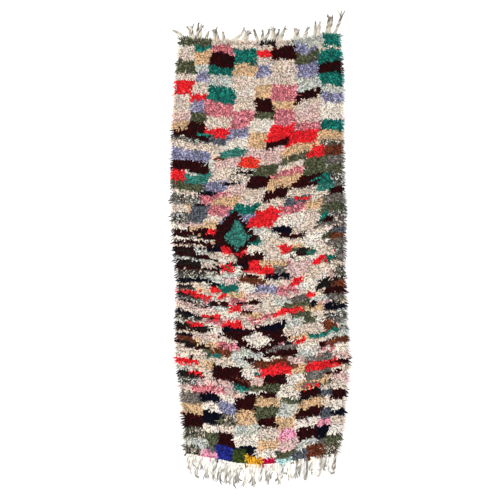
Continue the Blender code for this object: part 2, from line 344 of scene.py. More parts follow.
@dataclass(frozen=True)
class Zone:
    """A stretch of the rug with one way of laying patches.

    Its start and end are shares of the rug's length, its rows are its columns or courses, and the
    sizes of its patches are metres. Ground share is how likely a patch is to be pale, more so after
    a coloured patch and less so after a pale one. Its columns drift sideways by the lean, a share of
    the width, and change to the later colours, both from a share of its length on.
    """

    start: float
    end: float
    lay: Lay
    rows: int
    shortest: float
    longest: float
    colours: Palette
    ground_share: float = 0.0
    after_colour: float = 1.6
    after_pale: float = 0.6
    lean: float = 0.0
    later_colours: Palette | None = None
    later_from: float = 0.0
    left: EdgeBars | None = None
    right: EdgeBars | None = None
    dashes: Dashes | None = None


ZONES = (
    Zone(start=0.0, end=0.435, lay=Lay.COLUMNS, rows=10, shortest=0.042, longest=0.124,
         colours=FIRST_BLOCKS, ground_share=0.12, lean=0.30, later_colours=DRIFTING_BLOCKS,
         later_from=0.42,
         left=EdgeBars(reach=0.15, shortest=0.030, longest=0.080, yarns=DARK_EDGE, first=0.50),
         right=EdgeBars(reach=0.09, shortest=0.030, longest=0.075, yarns=GREY_EDGE, first=0.56),
         dashes=Dashes(10, DARK_DASHES, first=0.5)),
    Zone(start=0.435, end=0.73, lay=Lay.COURSES, rows=20, shortest=0.060, longest=0.190,
         colours=SHORT_BARS, ground_share=0.52,
         left=EdgeBars(reach=0.17, shortest=0.014, longest=0.034, yarns=BARRED_EDGE),
         right=EdgeBars(reach=0.08, shortest=0.022, longest=0.060, yarns=GREY_EDGE),
         dashes=Dashes(26, DARK_DASHES, thinnest=0.018, thickest=0.032)),
    Zone(start=0.73, end=0.84, lay=Lay.COURSES, rows=6, shortest=0.085, longest=0.240,
         colours=BLOTS, ground_share=0.56,
         left=EdgeBars(reach=0.12, shortest=0.020, longest=0.050, yarns=BARRED_EDGE),
         dashes=Dashes(16, DARK_DASHES, thinnest=0.016)),
    Zone(start=0.84, end=1.0, lay=Lay.COLUMNS, rows=9, shortest=0.052, longest=0.112,
         colours=LAST_BLOCKS),
)


class OddYarn(NamedTuple):
    """A patch of the first or last row, which use up odd yarns: its yarn and its depth in metres."""

    yarn: Yarn
    depth: float


FIRST_ROW = (
    OddYarn(Yarn.OLIVE, 0.042), OddYarn(Yarn.OLIVE, 0.034), OddYarn(Yarn.CREAM, 0.030),
    OddYarn(Yarn.CREAM, 0.040), OddYarn(Yarn.CREAM, 0.030), OddYarn(Yarn.CHARCOAL, 0.012),
    OddYarn(Yarn.CREAM, 0.030), OddYarn(Yarn.STONE, 0.022), OddYarn(Yarn.STONE, 0.050),
    OddYarn(Yarn.TEAL, 0.085),
)
LAST_ROW = (
    OddYarn(Yarn.TWEED, 0.085), OddYarn(Yarn.LIGHT_PINK, 0.068), OddYarn(Yarn.ROYAL, 0.118),
    OddYarn(Yarn.GREEN, 0.098), OddYarn(Yarn.MUSTARD, 0.058), OddYarn(Yarn.CRIMSON, 0.055),
    OddYarn(Yarn.AQUA, 0.052), OddYarn(Yarn.SLATE, 0.082), OddYarn(Yarn.BROWN, 0.100),
    OddYarn(Yarn.TWEED, 0.090),
)


@dataclass(frozen=True)
class Lozenge:
    """A traditional lozenge with a dark outline. Its middle is metres across from the rug's middle
    and a share along. Outer and inner sizes are metres: half its width, and its reach towards the
    far and the near end."""

    middle_across: float
    middle_along: float
    outer: tuple[float, float, float]
    inner: tuple[float, float, float]
    outline: Yarn
    fill: Yarn


LOZENGES = (
    Lozenge(middle_across=-0.146, middle_along=0.461, outer=(0.150, 0.200, 0.105),
            inner=(0.096, 0.130, 0.078), outline=Yarn.MAROON, fill=Yarn.SEA_GREEN),
    Lozenge(middle_across=-0.030, middle_along=0.700, outer=(0.225, 0.104, 0.100),
            inner=(0.118, 0.070, 0.066), outline=Yarn.MAROON, fill=Yarn.IVORY),
)


@dataclass
class PatchRows:
    """Rows of patches side by side: each row's outer limit, and the ends and yarns of its patches."""

    limits: list[float] = field(default_factory=list)
    ends: list[list[float]] = field(default_factory=list)
    yarns: list[list[int]] = field(default_factory=list)

    def at(self, main: np.ndarray, cross: np.ndarray) -> np.ndarray:
        """Finds the yarn at each place.

        Args:
            main: Where each place lies across the rows.
            cross: Where it lies along its row.

        Returns:
            The number of each place's yarn in YARNS.
        """
        rows = np.minimum(np.searchsorted(self.limits, main), len(self.limits) - 1)
        found = np.zeros(len(main), dtype=int)
        for row, (ends, yarns) in enumerate(zip(self.ends, self.yarns)):
            here = rows == row
            place = np.minimum(np.searchsorted(ends, cross[here]), len(ends) - 1)
            found[here] = np.array(yarns)[place]
        return found

    def add_row(self, chance: random.Random, limit: float, length: float, zone: Zone) -> None:
        """Lays one more row of patches, unlike their neighbours in yarn.

        Args:
            chance: The random draws.
            limit: The row's outer limit.
            length: The row's length in metres.
            zone: The sizes and yarns of its patches.
        """
        reach = -chance.uniform(0.0, zone.shortest)
        ends, yarns = [], []
        pale = {yarn.number for yarn in GROUND.weights}
        while reach < length:
            reach += chance.uniform(zone.shortest, zone.longest)
            barred = set(yarns[-1:])
            if self.limits:
                beside = np.array([self.limits[-1] - 1e-6]), np.array([reach - 0.6 * zone.shortest])
                barred.add(int(self.at(*beside)[0]))
            is_later = zone.later_colours is not None and reach > zone.later_from * length
            colours = zone.later_colours if is_later else zone.colours
            after_colour = bool(yarns) and yarns[-1] not in pale
            likelier = zone.after_colour if after_colour else zone.after_pale
            is_ground = chance.random() < zone.ground_share * likelier
            yarns.append(GROUND.draw(chance, set()) if is_ground else colours.draw(chance, barred))
            ends.append(reach)
        self.limits.append(limit)
        self.ends.append(ends)
        self.yarns.append(yarns)


@dataclass
class Patchwork:
    """The rug's patchwork, laid by rule. It says which yarn each lock of the pile is made of.

    The patches' edges drift in slow and in quick waves. Drifts and the waves' lengths, first across
    and then along, are metres. The sizes of rows, the reaches of edge bars and the places of dashes
    across the rug are drawn from their ranges.
    """

    width: float = 1.12
    length: float = 2.81
    seed: int = 184
    slow_drift: float = 0.021
    slow_lengths: tuple[float, float] = (0.34, 0.41)
    quick_drift: float = 0.0060
    course_drift: float = 0.0030
    quick_lengths: tuple[float, float] = (0.09, 0.08)
    row_range: tuple[float, float] = (0.65, 1.35)
    lean_curve: float = 1.4
    lean_slope: float = 0.10
    bar_range: tuple[float, float] = (0.55, 1.75)
    bar_taper: float = 0.35
    dash_range: tuple[float, float] = (0.10, 0.92)

    def yarns_at(self, across: np.ndarray, along: np.ndarray) -> np.ndarray:
        """Finds the yarn at each place of the rug.

        Args:
            across: Shares of the way from the left side to the right.
            along: Shares of the way from the far end to the near end.

        Returns:
            The number of each place's yarn in YARNS.
        """
        x, y = across * self.width, along * self.length
        drifted_x = (x + self.slow_drift * wander(x, y, self.slow_lengths[0], 1.0)
                     + self.quick_drift * wander(x, y, self.quick_lengths[0], 2.0))
        drifted_y = (y + self.slow_drift * wander(x, y, self.slow_lengths[1], 3.0)
                     + self.course_drift * wander(x, y, self.quick_lengths[1], 4.0))
        found = np.zeros(len(x), dtype=int)
        chance = random.Random(self.seed)
        for zone in ZONES:
            start, end = zone.start * self.length, zone.end * self.length
            here = (drifted_y >= start) | (zone.start == 0.0)
            here &= (drifted_y < end) | (zone.end == 1.0)
            found[here] = self._zone_yarns(chance, zone, end - start, drifted_x[here],
                                           drifted_y[here] - start)
        self._lay_odd_row(found, FIRST_ROW, x, drifted_y)
        self._lay_odd_row(found, LAST_ROW, x, self.length - drifted_y)
        for lozenge in LOZENGES:
            self._lay_lozenge(found, lozenge, drifted_x, drifted_y)
        return found

    def _zone_yarns(self, chance: random.Random, zone: Zone, length: float, x: np.ndarray,
                    y: np.ndarray) -> np.ndarray:
        """Finds the yarns of the places in one zone.

        Args:
            chance: The random draws.
            zone: The zone.
            length: The zone's length in metres.
            x: Places across, in metres from the left side.
            y: Places along, in metres from the zone's start.

        Returns:
            The number of each place's yarn in YARNS.
        """
        sizes = np.array([chance.uniform(*self.row_range) for _ in range(zone.rows)])
        shares = np.cumsum(sizes) / sizes.sum()
        patches = PatchRows()
        if zone.lay is Lay.COLUMNS:
            for limit in shares * (1.0 + zone.lean):
                patches.add_row(chance, limit, length, zone)
            leaning = np.maximum(y / length - zone.later_from, 0.0) / (1.0 - zone.later_from)
            main = x / self.width + zone.lean * leaning ** self.lean_curve
            found = patches.at(main, y + self.lean_slope * leaning * x)
        else:
            for limit in shares * length:
                patches.add_row(chance, limit, self.width, zone)
            found = patches.at(y, x)
        for bars, distance in ((zone.left, x), (zone.right, self.width - x)):
            if bars:
                self._lay_edge_bars(chance, bars, length, distance, y, found)
        if zone.dashes:
            self._lay_dashes(chance, zone.dashes, length, x, y, found)
        return found

    def _lay_edge_bars(self, chance: random.Random, bars: EdgeBars, length: float,
                       distance: np.ndarray, y: np.ndarray, found: np.ndarray) -> None:
        """Lays the bars along one long side over a zone's patches.

        Args:
            chance: The random draws.
            bars: The bars' sizes and yarns.
            length: The zone's length in metres.
            distance: Each place's distance from that side, in metres.
            y: Places along, in metres from the zone's start.
            found: The yarns found so far, which this changes.
        """
        end, last = bars.first * length, -1
        while end < length:
            start, end = end, end + chance.uniform(bars.shortest, bars.longest)
            last = bars.yarns.draw(chance, {last})
            reach = bars.reach * chance.uniform(*self.bar_range)
            tapered = reach - self.bar_taper * np.abs(y - (start + end) / 2.0)
            found[(y >= start) & (y < end) & (distance < tapered)] = last

    def _lay_dashes(self, chance: random.Random, dashes: Dashes, length: float, x: np.ndarray,
                    y: np.ndarray, found: np.ndarray) -> None:
        """Scatters thin bars over a zone's patches.

        Args:
            chance: The random draws.
            dashes: The bars' number, sizes and yarns.
            length: The zone's length in metres.
            x: Places across, in metres from the left side.
            y: Places along, in metres from the zone's start.
            found: The yarns found so far, which this changes.
        """
        for _ in range(dashes.count):
            dx = x - chance.uniform(*self.dash_range) * self.width
            dy = y - chance.uniform(dashes.first, 1.0) * length
            dy -= dx * chance.uniform(-dashes.steepest, dashes.steepest)
            half_length = chance.uniform(dashes.shortest, dashes.longest) / 2.0
            half_thickness = chance.uniform(dashes.thinnest, dashes.thickest) / 2.0
            inside = (np.abs(dx) < half_length) & (np.abs(dy) < half_thickness)
            found[inside] = dashes.yarns.draw(chance, set())

    def _lay_odd_row(self, found: np.ndarray, row: tuple[OddYarn, ...], x: np.ndarray,
                     from_end: np.ndarray) -> None:
        """Lays the first or last row, whose patches are as deep as the odd yarns reached.

        Args:
            found: The yarns found so far, which this changes.
            row: The row's patches, from left to right.
            x: Places across, in metres from the left side.
            from_end: Each place's distance from that end, in metres.
        """
        cells = np.clip((x / self.width * len(row)).astype(int), 0, len(row) - 1)
        depths = np.array([patch.depth for patch in row])[cells]
        yarns = np.array([patch.yarn.number for patch in row])[cells]
        found[from_end < depths] = yarns[from_end < depths]

    def _lay_lozenge(self, found: np.ndarray, lozenge: Lozenge, x: np.ndarray, y: np.ndarray) -> None:
        """Lays one lozenge over the patches.

        Args:
            found: The yarns found so far, which this changes.
            lozenge: The lozenge.
            x: Places across, in metres from the left side.
            y: Places along, in metres from the far end.
        """
        dx = np.abs(x - self.width / 2.0 - lozenge.middle_across)
        dy = y - lozenge.middle_along * self.length
        for (half, far, near), yarn in ((lozenge.outer, lozenge.outline), (lozenge.inner, lozenge.fill)):
            inside = dx / half + np.where(dy < 0.0, -dy / far, dy / near) < 1.0
            found[inside] = yarn.number


class End(Enum):
    """The rug's two short ends, each with the way out of it along Y."""

    FAR = 1.0
    NEAR = -1.0


@dataclass(frozen=True)
class Outline:
    """The pile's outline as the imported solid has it.

    Left and right are how far the long sides lie from the middle, at the side shares along. Far and
    near are how far the ends lie off the plain length along +Y, at the end shares across. They and
    the length are metres.
    """

    length: float = 2.81
    cells: int = 30
    side_shares: tuple[float, ...] = (0.0, 0.10, 0.22, 0.33, 0.43, 0.50, 0.58, 0.68, 0.77, 0.83,
                                      0.92, 1.0)
    left: tuple[float, ...] = (0.524, 0.550, 0.574, 0.577, 0.577, 0.567, 0.537, 0.547, 0.550, 0.520,
                               0.494, 0.487)
    right: tuple[float, ...] = (0.530, 0.554, 0.554, 0.554, 0.570, 0.564, 0.564, 0.577, 0.597, 0.580,
                                0.557, 0.517)
    end_shares: tuple[float, ...] = (0.0, 0.15, 0.35, 0.50, 0.65, 0.80, 0.92, 1.0)
    far: tuple[float, ...] = (0.018, 0.006, -0.004, -0.009, -0.005, 0.013, 0.044, 0.040)
    near: tuple[float, ...] = (0.058, 0.032, -0.006, -0.014, 0.000, 0.029, 0.051, 0.061)

    @staticmethod
    def between(shares: tuple[float, ...], column: tuple[float, ...], share: np.ndarray) -> np.ndarray:
        """A column's value at each share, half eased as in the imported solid.

        Args:
            shares: The stations' shares.
            column: The value at each station.
            share: Where to find the value.

        Returns:
            The value at each share.
        """
        spots = np.asarray(shares)
        values = np.asarray(column)
        after = np.clip(np.searchsorted(spots, share), 1, len(spots) - 1)
        part = (share - spots[after - 1]) / (spots[after] - spots[after - 1])
        eased = (part + part * part * (3.0 - 2.0 * part)) / 2.0
        return values[after - 1] + (values[after] - values[after - 1]) * eased

    def sides(self, along: np.ndarray) -> tuple[np.ndarray, np.ndarray]:
        """How far the left and right sides lie from the middle, at each share along."""
        return (self.between(self.side_shares, self.left, along),
                self.between(self.side_shares, self.right, along))

    def place(self, across: np.ndarray, along: np.ndarray) -> tuple[np.ndarray, np.ndarray]:
        """The X and Y of each place of the rug.

        Args:
            across: Shares of the way from the left side to the right.
            along: Shares of the way from the far end to the near end.

        Returns:
            The places' X and Y in metres.
        """
        left, right = self.sides(along)
        far = self.length / 2.0 + self.between(self.end_shares, self.far, across)
        near = -self.length / 2.0 + self.between(self.end_shares, self.near, across)
        return -left + (left + right) * across, far + (near - far) * along

    def end_width(self, end: End) -> float:
        """The pile's width at one end, in metres."""
        left, right = self.sides(np.array([0.0 if end is End.FAR else 1.0]))
        return float(left[0] + right[0])

    def on_end(self, across: np.ndarray, end: End) -> tuple[np.ndarray, np.ndarray]:
        """Places on the pile's end wall, which is straight between two cells of the solid.

        Args:
            across: Shares of the way from the left side to the right.
            end: The end of the rug.

        Returns:
            The places' X and Y in metres.
        """
        corners = np.linspace(0.0, 1.0, self.cells + 1)
        corner_x, corner_y = self.place(corners, np.full(self.cells + 1, 0.0 if end is End.FAR else 1.0))
        return np.interp(across, corners, corner_x), np.interp(across, corners, corner_y)


class TubeTemplate(NamedTuple):
    """One straight tube. Its points' Z is the number of their ring, and each face has its corners,
    with the place of each corner on a flat map of the tube."""

    points: np.ndarray
    faces: list[list[int]]
    flat: list[list[tuple[float, float]]]


@dataclass
class TubeBundle:
    """Many like tubes as one mesh: locks of pile, plies of yarn or twined cords.

    One tube is drawn with bmesh operators, and copies of it are bent along their spines and joined.
    On its flat map, a unit square, the tube's side lies below the small ovals of its two caps.
    """

    rings: int
    sides: int
    pointed: bool = False
    map_margin: float = 0.06
    side_share: float = 0.9
    cap_middles: tuple[float, float] = (0.25, 0.75)
    cap_height: float = 0.96
    cap_size: tuple[float, float] = (0.2, 0.03)

    def _template(self) -> TubeTemplate:
        """Draws one straight tube with a radius of one and its rings one apart.

        Returns:
            The tube.
        """
        mesh = bmesh.new()
        bmesh.ops.create_circle(mesh, cap_ends=True, segments=self.sides, radius=1.0)
        raised = bmesh.ops.extrude_face_region(mesh, geom=list(mesh.faces))["geom"]
        tip = next(item for item in raised if isinstance(item, bmesh.types.BMFace))
        bmesh.ops.translate(mesh, verts=list(tip.verts), vec=(0.0, 0.0, 1.0))
        for _ in range(self.rings - 2):
            tip = bmesh.ops.extrude_discrete_faces(mesh, faces=[tip])["faces"][0]
            bmesh.ops.translate(mesh, verts=list(tip.verts), vec=(0.0, 0.0, 1.0))
        if self.pointed:
            bmesh.ops.pointmerge(mesh, verts=list(tip.verts), merge_co=tip.calc_center_median())
        bmesh.ops.recalc_face_normals(mesh, faces=mesh.faces)
        settle_faces(mesh)
        points = np.array([vertex.co[:] for vertex in mesh.verts])
        faces = [[vertex.index for vertex in face.verts] for face in mesh.faces]
        mesh.free()
        return TubeTemplate(points, faces, [self._flatten(points, face) for face in faces])

    def _flatten(self, points: np.ndarray, face: list[int]) -> list[tuple[float, float]]:
        """Places one face's corners on the flat map of the tube.

        Args:
            points: The tube's points.
            face: The face's corners.

        Returns:
            The corners' places.
        """
        corners = points[face]
        is_cap = np.ptp(corners[:, 2]) < 0.5
        if is_cap:
            middle = self.cap_middles[int(corners[0, 2] > 0.5)]
            width, height = self.cap_size
            return [(middle + width * x, self.cap_height + height * y) for x, y, _ in corners]
        turns = np.arctan2(corners[:, 1], corners[:, 0]) / (2.0 * math.pi) % 1.0
        at_point = np.hypot(corners[:, 0], corners[:, 1]) < 0.5
        if np.ptp(turns[~at_point]) > 0.5:
            turns = np.where(turns < 0.5, turns + 1.0, turns)
        turns = np.where(at_point, turns[~at_point].mean(), turns)
        heights = self.side_share * corners[:, 2] / (self.rings - 1)
        return [(float(turn), float(height)) for turn, height in zip(turns, heights)]

    def build(self, name: str, spines: np.ndarray, side_ways: np.ndarray, half_widths: np.ndarray,
              half_depths: np.ndarray, colours: np.ndarray, finishes: np.ndarray,
              turn: np.ndarray | float = 0.0) -> bpy.types.Object:
        """Bends a copy of the tube along each spine and joins them.

        Args:
            name: The piece's name.
            spines: Each tube's ring middles, tubes by rings by 3.
            side_ways: Each tube's direction across its width, tubes by 3.
            half_widths: Tubes by rings, in metres.
            half_depths: Tubes by rings, in metres.
            colours: Each ring's linear colour, tubes by rings by 3.
            finishes: The number of each tube's material.
            turn: How far each section is turned about its spine, in radians.

        Returns:
            The new object.
        """
        template = self._template()
        ring = np.rint(template.points[:, 2]).astype(int)
        tangents = np.gradient(spines, axis=1)
        tangents /= np.linalg.norm(tangents, axis=2, keepdims=True)
        normals = np.cross(tangents, side_ways[:, None, :])
        normals /= np.linalg.norm(normals, axis=2, keepdims=True)
        ways = np.cross(normals, tangents)
        angle = np.broadcast_to(np.asarray(turn), half_widths.shape)[:, ring]
        unit_x, unit_y = template.points[:, 0], template.points[:, 1]
        across = (unit_x * np.cos(angle) - unit_y * np.sin(angle)) * half_widths[:, ring]
        upward = (unit_x * np.sin(angle) + unit_y * np.cos(angle)) * half_depths[:, ring]
        places = (spines[:, ring] + ways[:, ring] * across[..., None]
                  + normals[:, ring] * upward[..., None])
        return self._join(name, template, places, colours[:, ring], finishes, spines)

    def _join(self, name: str, template: TubeTemplate, places: np.ndarray, colours: np.ndarray,
              finishes: np.ndarray, spines: np.ndarray) -> bpy.types.Object:
        """Joins the bent tubes into one object, with their colours and two maps.

        Args:
            name: The piece's name.
            template: The tube that they are copies of.
            places: Their points, tubes by points by 3.
            colours: Their points' linear colours.
            finishes: The number of each tube's material.
            spines: Each tube's ring middles, which give its length.

        Returns:
            The new object.
        """
        tubes, points = places.shape[:2]
        corners = np.concatenate([np.array(face) for face in template.faces])
        sizes = np.array([len(face) for face in template.faces])
        flat = np.array([spot for face in template.flat for spot in face])
        starts = np.concatenate([[0], np.cumsum(sizes)[:-1]])
        every = np.arange(tubes)[:, None]

        data = bpy.data.meshes.new(name)
        data.vertices.add(tubes * points)
        fill(data.vertices, "co", places)
        data.loops.add(tubes * len(corners))
        fill(data.loops, "vertex_index", corners + every * points)
        data.polygons.add(tubes * len(sizes))
        fill(data.polygons, "loop_start", starts + every * len(corners))
        fill(data.polygons, "material_index", np.repeat(finishes, len(sizes)))
        data.update(calc_edges=True)
        lay_colours(data, "POINT", colours)

        lengths = np.linalg.norm(np.diff(spines, axis=1), axis=2).sum(axis=1)
        fibre = np.stack([np.broadcast_to(flat[:, 0], (tubes, len(flat))),
                          flat[:, 1] * lengths[:, None]], axis=2)
        grid = math.ceil(math.sqrt(tubes))
        cell = np.stack([every % grid, every // grid], axis=2)
        inner = np.clip(flat / np.array([1.0 + 1.0 / self.sides, 1.0]), 0.0, 1.0)
        inner = self.map_margin + (1.0 - 2.0 * self.map_margin) * inner
        for map_name, spots in ((FIBRE_MAP, fibre), (BAKE_MAP, (cell + inner) / grid)):
            fill(data.uv_layers.new(name=map_name).data, "uv", spots)
        data.shade_smooth()
        data.validate()
        return add_object(name, data)


def start_material(name: str, settings: dict) -> tuple[bpy.types.Material, bpy.types.Node]:
    """Starts a material with constants on its shader.

    Args:
        name: The material's name.
        settings: The shader's input names, with the values they take.

    Returns:
        The material and its shader.
    """
    made = bpy.data.materials.new(name)
    made.use_nodes = True
    shader = made.node_tree.nodes["Principled BSDF"]
    for socket, value in settings.items():
        shader.inputs[socket].default_value = value
    return made, shader


@dataclass(frozen=True)
class Relief:
    """How strongly a finish's surface is raised, and how high in metres."""

    strength: float
    depth: float

    def dress(self, tree: bpy.types.NodeTree, shader: bpy.types.Node, shade: bpy.types.NodeSocket,
              height: bpy.types.NodeSocket) -> None:
        """Joins the colour layer, the yarns' colours with any painted shade and light in them, and the
        relief to a shader.

        Args:
            tree: The material's node tree.
            shader: Its shader.
            shade: What the colours are multiplied by.
            height: The height of the surface, from 0 to 1.
        """
        colour = add_node(tree, "ShaderNodeAttribute", {"attribute_name": COLOUR_LAYER})
        dyed = add_node(tree, "ShaderNodeVectorMath", {"operation": "SCALE"},
                        {"Vector": colour.outputs["Color"], "Scale": shade})
        bump = add_node(tree, "ShaderNodeBump", {"Strength": self.strength, "Distance": self.depth},
                        {"Height": height})
        tree.links.new(dyed.outputs["Vector"], shader.inputs["Base Color"])
        tree.links.new(bump.outputs["Normal"], shader.inputs["Normal"])


@dataclass(frozen=True)
class YarnFinish:
    """The finish of a yarn or torn strip: its fuzz, and the small uneven marks of its fibres, lighter
    and darker by the heather. Fibres round is how many marks go round it, and their pitch along it
    is in metres."""

    name: str
    roughness: float
    fuzz: float
    fuzz_roughness: float
    shine: float = 0.03
    fibres_round: float = 3.0
    fibre_pitch: float = 0.0022
    fibres: Relief = Relief(strength=0.5, depth=0.0006)
    heather: float = 0.16

    def material(self) -> bpy.types.Material:
        """Makes the material.

        Returns:
            The material.
        """
        made, shader = start_material(self.name, {
            "Roughness": self.roughness, "Sheen Weight": self.fuzz,
            "Sheen Roughness": self.fuzz_roughness, "IOR": 1.5, "Specular IOR Level": self.shine})
        tree = made.node_tree
        fibre_map = add_node(tree, "ShaderNodeUVMap", {"uv_map": FIBRE_MAP})
        stretched = add_node(tree, "ShaderNodeMapping",
                             {"Scale": (self.fibres_round, 1.0 / self.fibre_pitch, 1.0)},
                             {"Vector": fibre_map.outputs["UV"]})
        fibres = add_node(tree, "ShaderNodeTexNoise", {"Scale": 1.0, "Detail": 3.0, "Roughness": 0.6},
                          {"Vector": stretched.outputs["Vector"]})
        heathered = add_node(tree, "ShaderNodeMapRange",
                             {"From Min": 0.25, "From Max": 0.75, "To Min": 1.0 - self.heather,
                              "To Max": 1.0 + self.heather},
                             {"Value": fibres.outputs["Fac"]})
        self.fibres.dress(tree, shader, heathered.outputs["Result"], fibres.outputs["Fac"])
        return made


# Torn wool and cotton: dead matt and a little fuzzy, so that its colour stays even
TORN_STRIPS = YarnFinish("torn_wool_and_cotton_strips", roughness=0.93, fuzz=0.02, fuzz_roughness=0.5)

# Acrylic: a smoother yarn, whose bright dyes take a faint shine on the tips
ACRYLIC_YARN = YarnFinish("acrylic_yarn", roughness=0.75, fuzz=0.02, fuzz_roughness=0.4, heather=0.12)

# Undyed warp, hand spun from wool and goat hair: ecru with greyish fibres and a fine twist
WARP_YARN = YarnFinish("ecru_warp_yarn", roughness=0.88, fuzz=0.15, fuzz_roughness=0.5,
                       fibre_pitch=0.0016, fibres=Relief(strength=0.5, depth=0.0004), heather=0.22)


@dataclass(frozen=True)
class WeaveFinish:
    """The woven ground: cotton warps under rows of knots, which give a ribbed, matt back."""

    warp_pitch: float = 0.0058
    row_pitch: float = 0.0092
    ribs: Relief = Relief(strength=0.8, depth=0.0012)
    roughness: float = 0.94
    shine: float = 0.2
    # Painted shade in the hollows between the ribs, as a share of the colour
    painted_hollow_shade: float = 0.72

    def material(self) -> bpy.types.Material:
        """Makes the material, whose ribs follow the rug's own X and Y.

        Returns:
            The material.
        """
        made, shader = start_material("woven_cotton_ground", {
            "Roughness": self.roughness, "Specular IOR Level": self.shine})
        tree = made.node_tree
        place = add_node(tree, "ShaderNodeTexCoord")
        ribs = [add_node(tree, "ShaderNodeTexWave",
                         {"bands_direction": direction, "Scale": 0.05 * 2.0 * math.pi / pitch,
                          "Distortion": 0.6, "Detail": 1.0},
                         {"Vector": place.outputs["Object"]})
                for direction, pitch in (("X", self.warp_pitch), ("Y", self.row_pitch))]
        woven = add_node(tree, "ShaderNodeMath", {"operation": "MULTIPLY"})
        for number, rib in enumerate(ribs):
            tree.links.new(rib.outputs["Fac"], woven.inputs[number])
        # Painted shade: the colour darkens in the hollows between the ribs
        shaded = add_node(tree, "ShaderNodeMapRange", {"To Min": self.painted_hollow_shade, "To Max": 1.0},
                          {"Value": woven.outputs["Value"]})
        self.ribs.dress(tree, shader, shaded.outputs["Result"], woven.outputs["Value"])
        return made


@dataclass
class GroundWeave:
    """The woven ground that the locks are knotted into: one thin sheet that lies on the floor.

    Its top and underside are heights in metres, and the patches' colours are dimmed on both, on the top
    as painted shade under the pile.
    """

    outline: Outline
    patchwork: Patchwork
    columns: int = 62
    rows: int = 152
    underside: float = 0.0004
    top: float = 0.0052
    lump: float = 0.0010
    lump_length: float = 0.05
    inset: float = 0.004
    # Painted shade on the sheet's top, which lies in the shadow of the locks
    painted_shade_under_pile: float = 0.70
    on_back: float = 0.78

    def build(self) -> bpy.types.Object:
        """Builds the sheet from a grid, with a patch colour for each of its faces.

        Returns:
            The sheet.
        """
        mesh = bmesh.new()
        bmesh.ops.create_grid(mesh, x_segments=self.columns, y_segments=self.rows, size=0.5)
        bmesh.ops.translate(mesh, verts=mesh.verts, vec=(0.5, 0.5, 0.0))
        raised = bmesh.ops.extrude_face_region(mesh, geom=list(mesh.faces))["geom"]
        corners = [item for item in raised if isinstance(item, bmesh.types.BMVert)]
        bmesh.ops.translate(mesh, verts=corners, vec=(0.0, 0.0, 1.0))
        bmesh.ops.recalc_face_normals(mesh, faces=mesh.faces)
        settle_faces(mesh)
        middles = np.array([face.calc_center_median()[:] for face in mesh.faces])
        across, along = np.clip(middles[:, :2], 0.0, 1.0).T
        colours = yarn_colours()[self.patchwork.yarns_at(across, along)]
        is_top = middles[:, 2:] > 0.75
        # The top gets painted shade from the pile over it
        shades = np.where(is_top, colours * self.painted_shade_under_pile, colours * self.on_back)

        spots = np.array([vertex.co[:] for vertex in mesh.verts])
        x, y = self.outline.place(spots[:, 0], spots[:, 1])
        left, right = self.outline.sides(spots[:, 1])
        half = (left + right) / 2.0
        middle = (right - left) / 2.0
        x = middle + (x - middle) * (1.0 - self.inset / half)
        y *= 1.0 - self.inset / self.outline.length * 2.0
        heights = self.top + self.lump * wander(x, y, self.lump_length, 5.0)
        for vertex, spot, px, py, height in zip(mesh.verts, spots, x, y, heights):
            vertex.co = (px, py, height if spot[2] > 0.5 else self.underside)

        data = take_mesh("ground_weave", mesh)
        sizes = np.array([len(face.vertices) for face in data.polygons])
        lay_colours(data, "CORNER", np.repeat(shades, sizes, axis=0))
        data.materials.append(WeaveFinish().material())
        return add_object("ground_weave", data)


class Roots(NamedTuple):
    """Where the locks are rooted: each one's shares across and along, the number of the knot that it
    belongs to, and the knot's own shares."""

    across: np.ndarray
    along: np.ndarray
    knot: np.ndarray
    knot_across: np.ndarray
    knot_along: np.ndarray


class Setting(NamedTuple):
    """What shapes the locks: each one's X and Y, its knot's number, how far down the rug the combing
    has come, how near the rim it is, and how strongly the left, right, far and near rims draw it
    outwards. The last three are from 0 to 1."""

    x: np.ndarray
    y: np.ndarray
    knot: np.ndarray
    combed: np.ndarray
    rim: np.ndarray
    pulls: list[np.ndarray]


